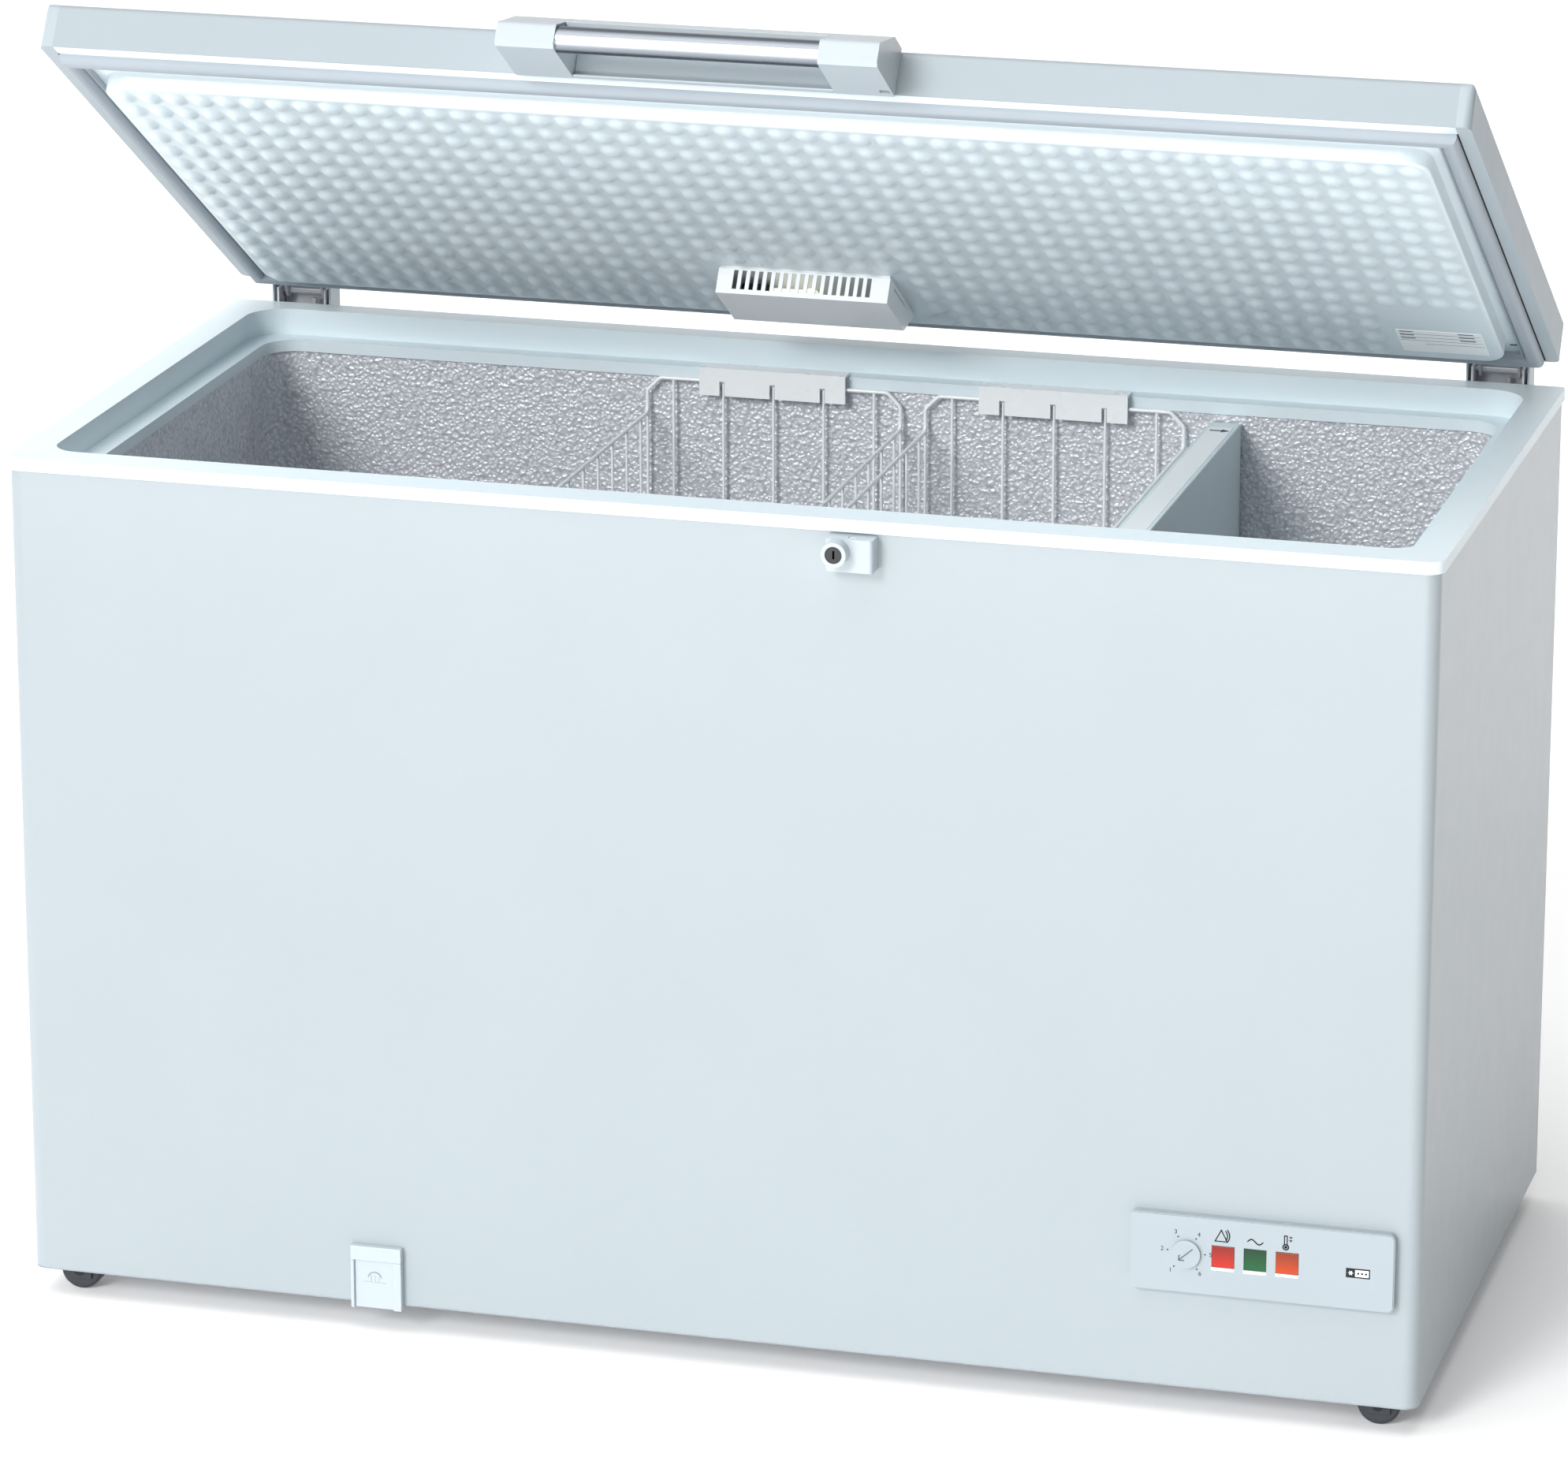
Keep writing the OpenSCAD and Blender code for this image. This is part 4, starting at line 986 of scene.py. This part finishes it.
def knob_arrow():
    """The raised pointer on the knob, set to the lowest number."""
    knob = centre_of("control_knob")
    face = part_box("control_knob")[0].y
    shape = Shape()
    along = Vector((math.cos(KNOB_TURN), math.sin(KNOB_TURN)))
    across = Vector((-along.y, along.x))

    def at(a, b):
        point = along * a + across * b
        return (knob.x + point.x, knob.z + point.y)

    depths = (face - 0.0004, face + 0.0002)
    reach, thick = 0.009, 0.0005
    shaft = [at(-reach, -thick), at(reach, -thick), at(reach, thick), at(-reach, thick)]
    shape.prism(shaft, 1, *depths)
    for side in (-1, 1):
        tip = [at(0.0095, 0), at(0.0055, side * 0.004), at(0.0045, side * 0.0032), at(0.0082, 0)]
        shape.prism(tip if side > 0 else tip[::-1], 1, *depths)
    piece("knob_pointer", shape.vertices, shape.faces, "control_knob", "pale_ink", smooth=False)


def lens_edge_highlights():
    """Pale strips under the three square lenses: painted highlights where each recess's lower edge catches the
    light.
    """
    shape = Shape()
    half = 0.011
    face = panel_front()
    for node in ("alarm_button", "power_lens", "fast_freeze_button"):
        low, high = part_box(node)
        middle = (low.x + high.x) / 2
        # a pale strip standing for the painted highlight on the recess's lower edge
        lip = (low.z - 0.0032, low.z - 0.0004)
        shape.box((middle - half, face - 0.0005, lip[0]), (middle + half, face, lip[1]))
    piece("lens_edge_highlights", shape.vertices, shape.faces, "cabinet", "lamp_plastic", smooth=False)


def star_mark():
    """The cold-class mark: a dark bar with one star and a pale field with three dots."""
    low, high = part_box("control_fascia")
    face = low.y
    left = high.x - 0.0460
    z = centre_of("control_knob").z - 0.003
    wide, tall = 0.023, 0.0095
    dark, pale, marks = Shape(), Shape(), Shape()
    dark.box((left, face - PRINT, z - tall / 2), (left + wide, face, z + tall / 2))
    field_half = tall / 2 - 0.0014
    pale.box(
        (left + 0.0088, face - 2 * PRINT, z - field_half),
        (left + wide - 0.0012, face - PRINT, z + field_half),
    )
    star = []
    for k in range(12):
        radius = 0.0029 if k % 2 == 0 else 0.0011
        turn = math.pi * k / 6
        star.append((left + 0.0046 + radius * math.cos(turn), z + radius * math.sin(turn)))
    pale.prism(star, 1, face - 2 * PRINT, face - PRINT)
    for k in range(3):
        spot = circle(left + 0.0118 + 0.0037 * k, z, 0.0011, 12)
        marks.prism(spot, 1, face - 3 * PRINT, face - 2 * PRINT)
    piece("star_bar", dark.vertices, dark.faces, "cabinet", "hollow", smooth=False)
    piece("star_field", pale.vertices, pale.faces, "cabinet", "label_film", smooth=False)
    piece("star_dots", marks.vertices, marks.faces, "cabinet", "hollow", smooth=False)


def drain_cover():
    """The drain's outside cover: a hood, two side walls, a set-back plate with a raised sign."""
    low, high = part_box("drain_cover")
    hood = high.z - 0.015
    plate = low.y + 0.003
    left_wall, right_wall = low.x + 0.0035, high.x - 0.0085
    shape = Shape()
    shape.box((low.x, low.y, hood), high)
    shape.box((low.x, low.y, low.z), (left_wall, high.y, hood))
    shape.box((right_wall, low.y, low.z), (high.x, high.y, hood))
    shape.box((left_wall, plate, low.z), (right_wall, high.y, hood))
    cover = piece(
        "drain_cover_hooded", shape.vertices, shape.faces, "drain_cover", "white_plastic", smooth=False
    )
    edge = cover.modifiers.new("bevel", "BEVEL")
    edge.width = 0.0009
    edge.segments = 3
    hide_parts("drain_cover")
    sign = Shape()
    x, z = (low.x + high.x) / 2 - 0.002, low.z + 0.027
    depths = (plate - 0.0006, plate)
    line, spacing = 0.0009, 0.004
    sign.stroke([(x - 0.011, z), (x + 0.011, z)], line, *depths)
    sign.stroke(circle(x, z + 0.004, 0.007, 10, 10, 160), line, *depths)
    for k in (-1, 0, 1):
        drop_x = x + spacing * k
        sign.stroke([(drop_x, z + 0.0015), (drop_x, z + 0.0065)], line, *depths)
    piece("drain_sign", sign.vertices, sign.faces, "drain_cover", "white_plastic", smooth=False)


# ---------------------------------------------------------------- fasteners


def screw(shape, place, outward, radius=0.0042):
    """A pan-head screw, pointing along outward."""
    turn = Vector((0, 0, 1)).rotation_difference(Vector(outward)).to_matrix().to_4x4()
    holder = Shape(Matrix.Translation(place) @ turn)
    rings = [(radius, 0.0), (radius, 0.0006), (radius * 0.85, 0.0014), (radius * 0.5, 0.0019)]
    steps = 20
    turns = [2 * math.pi * k / steps for k in range(steps)]
    points = [(r * math.cos(t), r * math.sin(t), h) for r, h in rings for t in turns]
    last = (len(rings) - 1) * steps
    faces = [tuple(reversed(range(steps))), tuple(range(last, last + steps))]
    for n in range(len(rings) - 1):
        for k in range(steps):
            m = (k + 1) % steps
            faces.append((n * steps + k, n * steps + m, (n + 1) * steps + m, (n + 1) * steps + k))
    holder.add(points, faces)
    shape.add(holder.vertices, holder.faces)


def back_screws():
    """Screws along the back panel, the grille and the hinge covers."""
    shape = Shape()
    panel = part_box("back_panel")
    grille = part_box("rear_grille")
    inset = 0.012
    for x in (panel[0].x + inset, panel[1].x - inset):
        for z in (0.40, 0.52, 0.64):
            screw(shape, (x, panel[1].y, z), (0, 1, 0))
    for k in range(5):
        x = panel[0].x + inset + (grille[0].x - panel[0].x - 2 * inset) * k / 4
        screw(shape, (x, panel[1].y, panel[0].z + inset), (0, 1, 0))
    for x in (grille[0].x + 0.009, grille[1].x - 0.009):
        for z in (grille[0].z + 0.02, grille[1].z - 0.012):
            screw(shape, (x, grille[1].y, z), (0, 1, 0))
    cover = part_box("hinge_covers")
    for side in (-1, 1):
        for z in (cover[0].z + 0.02, cover[0].z + 0.12):
            screw(shape, (side * (cover[1].x - HINGE_HALF), cover[1].y, z), (0, 1, 0))
    piece("back_screws", shape.vertices, shape.faces, "cabinet", "zinc", sharp_angle=40)


def tub_seams():
    """The lapped joint of the tub's sheet, down its left wall."""
    low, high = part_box("tub_liner")
    shape = Shape()
    thin, wide, inset = 0.0006, 0.014, 0.004
    x = low.x + 0.001
    y = high.y - 0.062
    shape.box((x, y, low.z + inset), (x + thin, y + wide, high.z - inset))
    piece("tub_seam", shape.vertices, shape.faces, "cabinet", "tub_aluminium", smooth=False)


make_camera()
make_studio()
dress_cad_nodes()
lid_liner()
lid_gasket()
corner_slits()
rating_label_print()
hinge_springs()
basket("basket_left")
basket("basket_right")
divider_label()
panel_symbols()
dial_marks()
knob_arrow()
lens_edge_highlights()
star_mark()
drain_cover()
back_screws()
tub_seams()
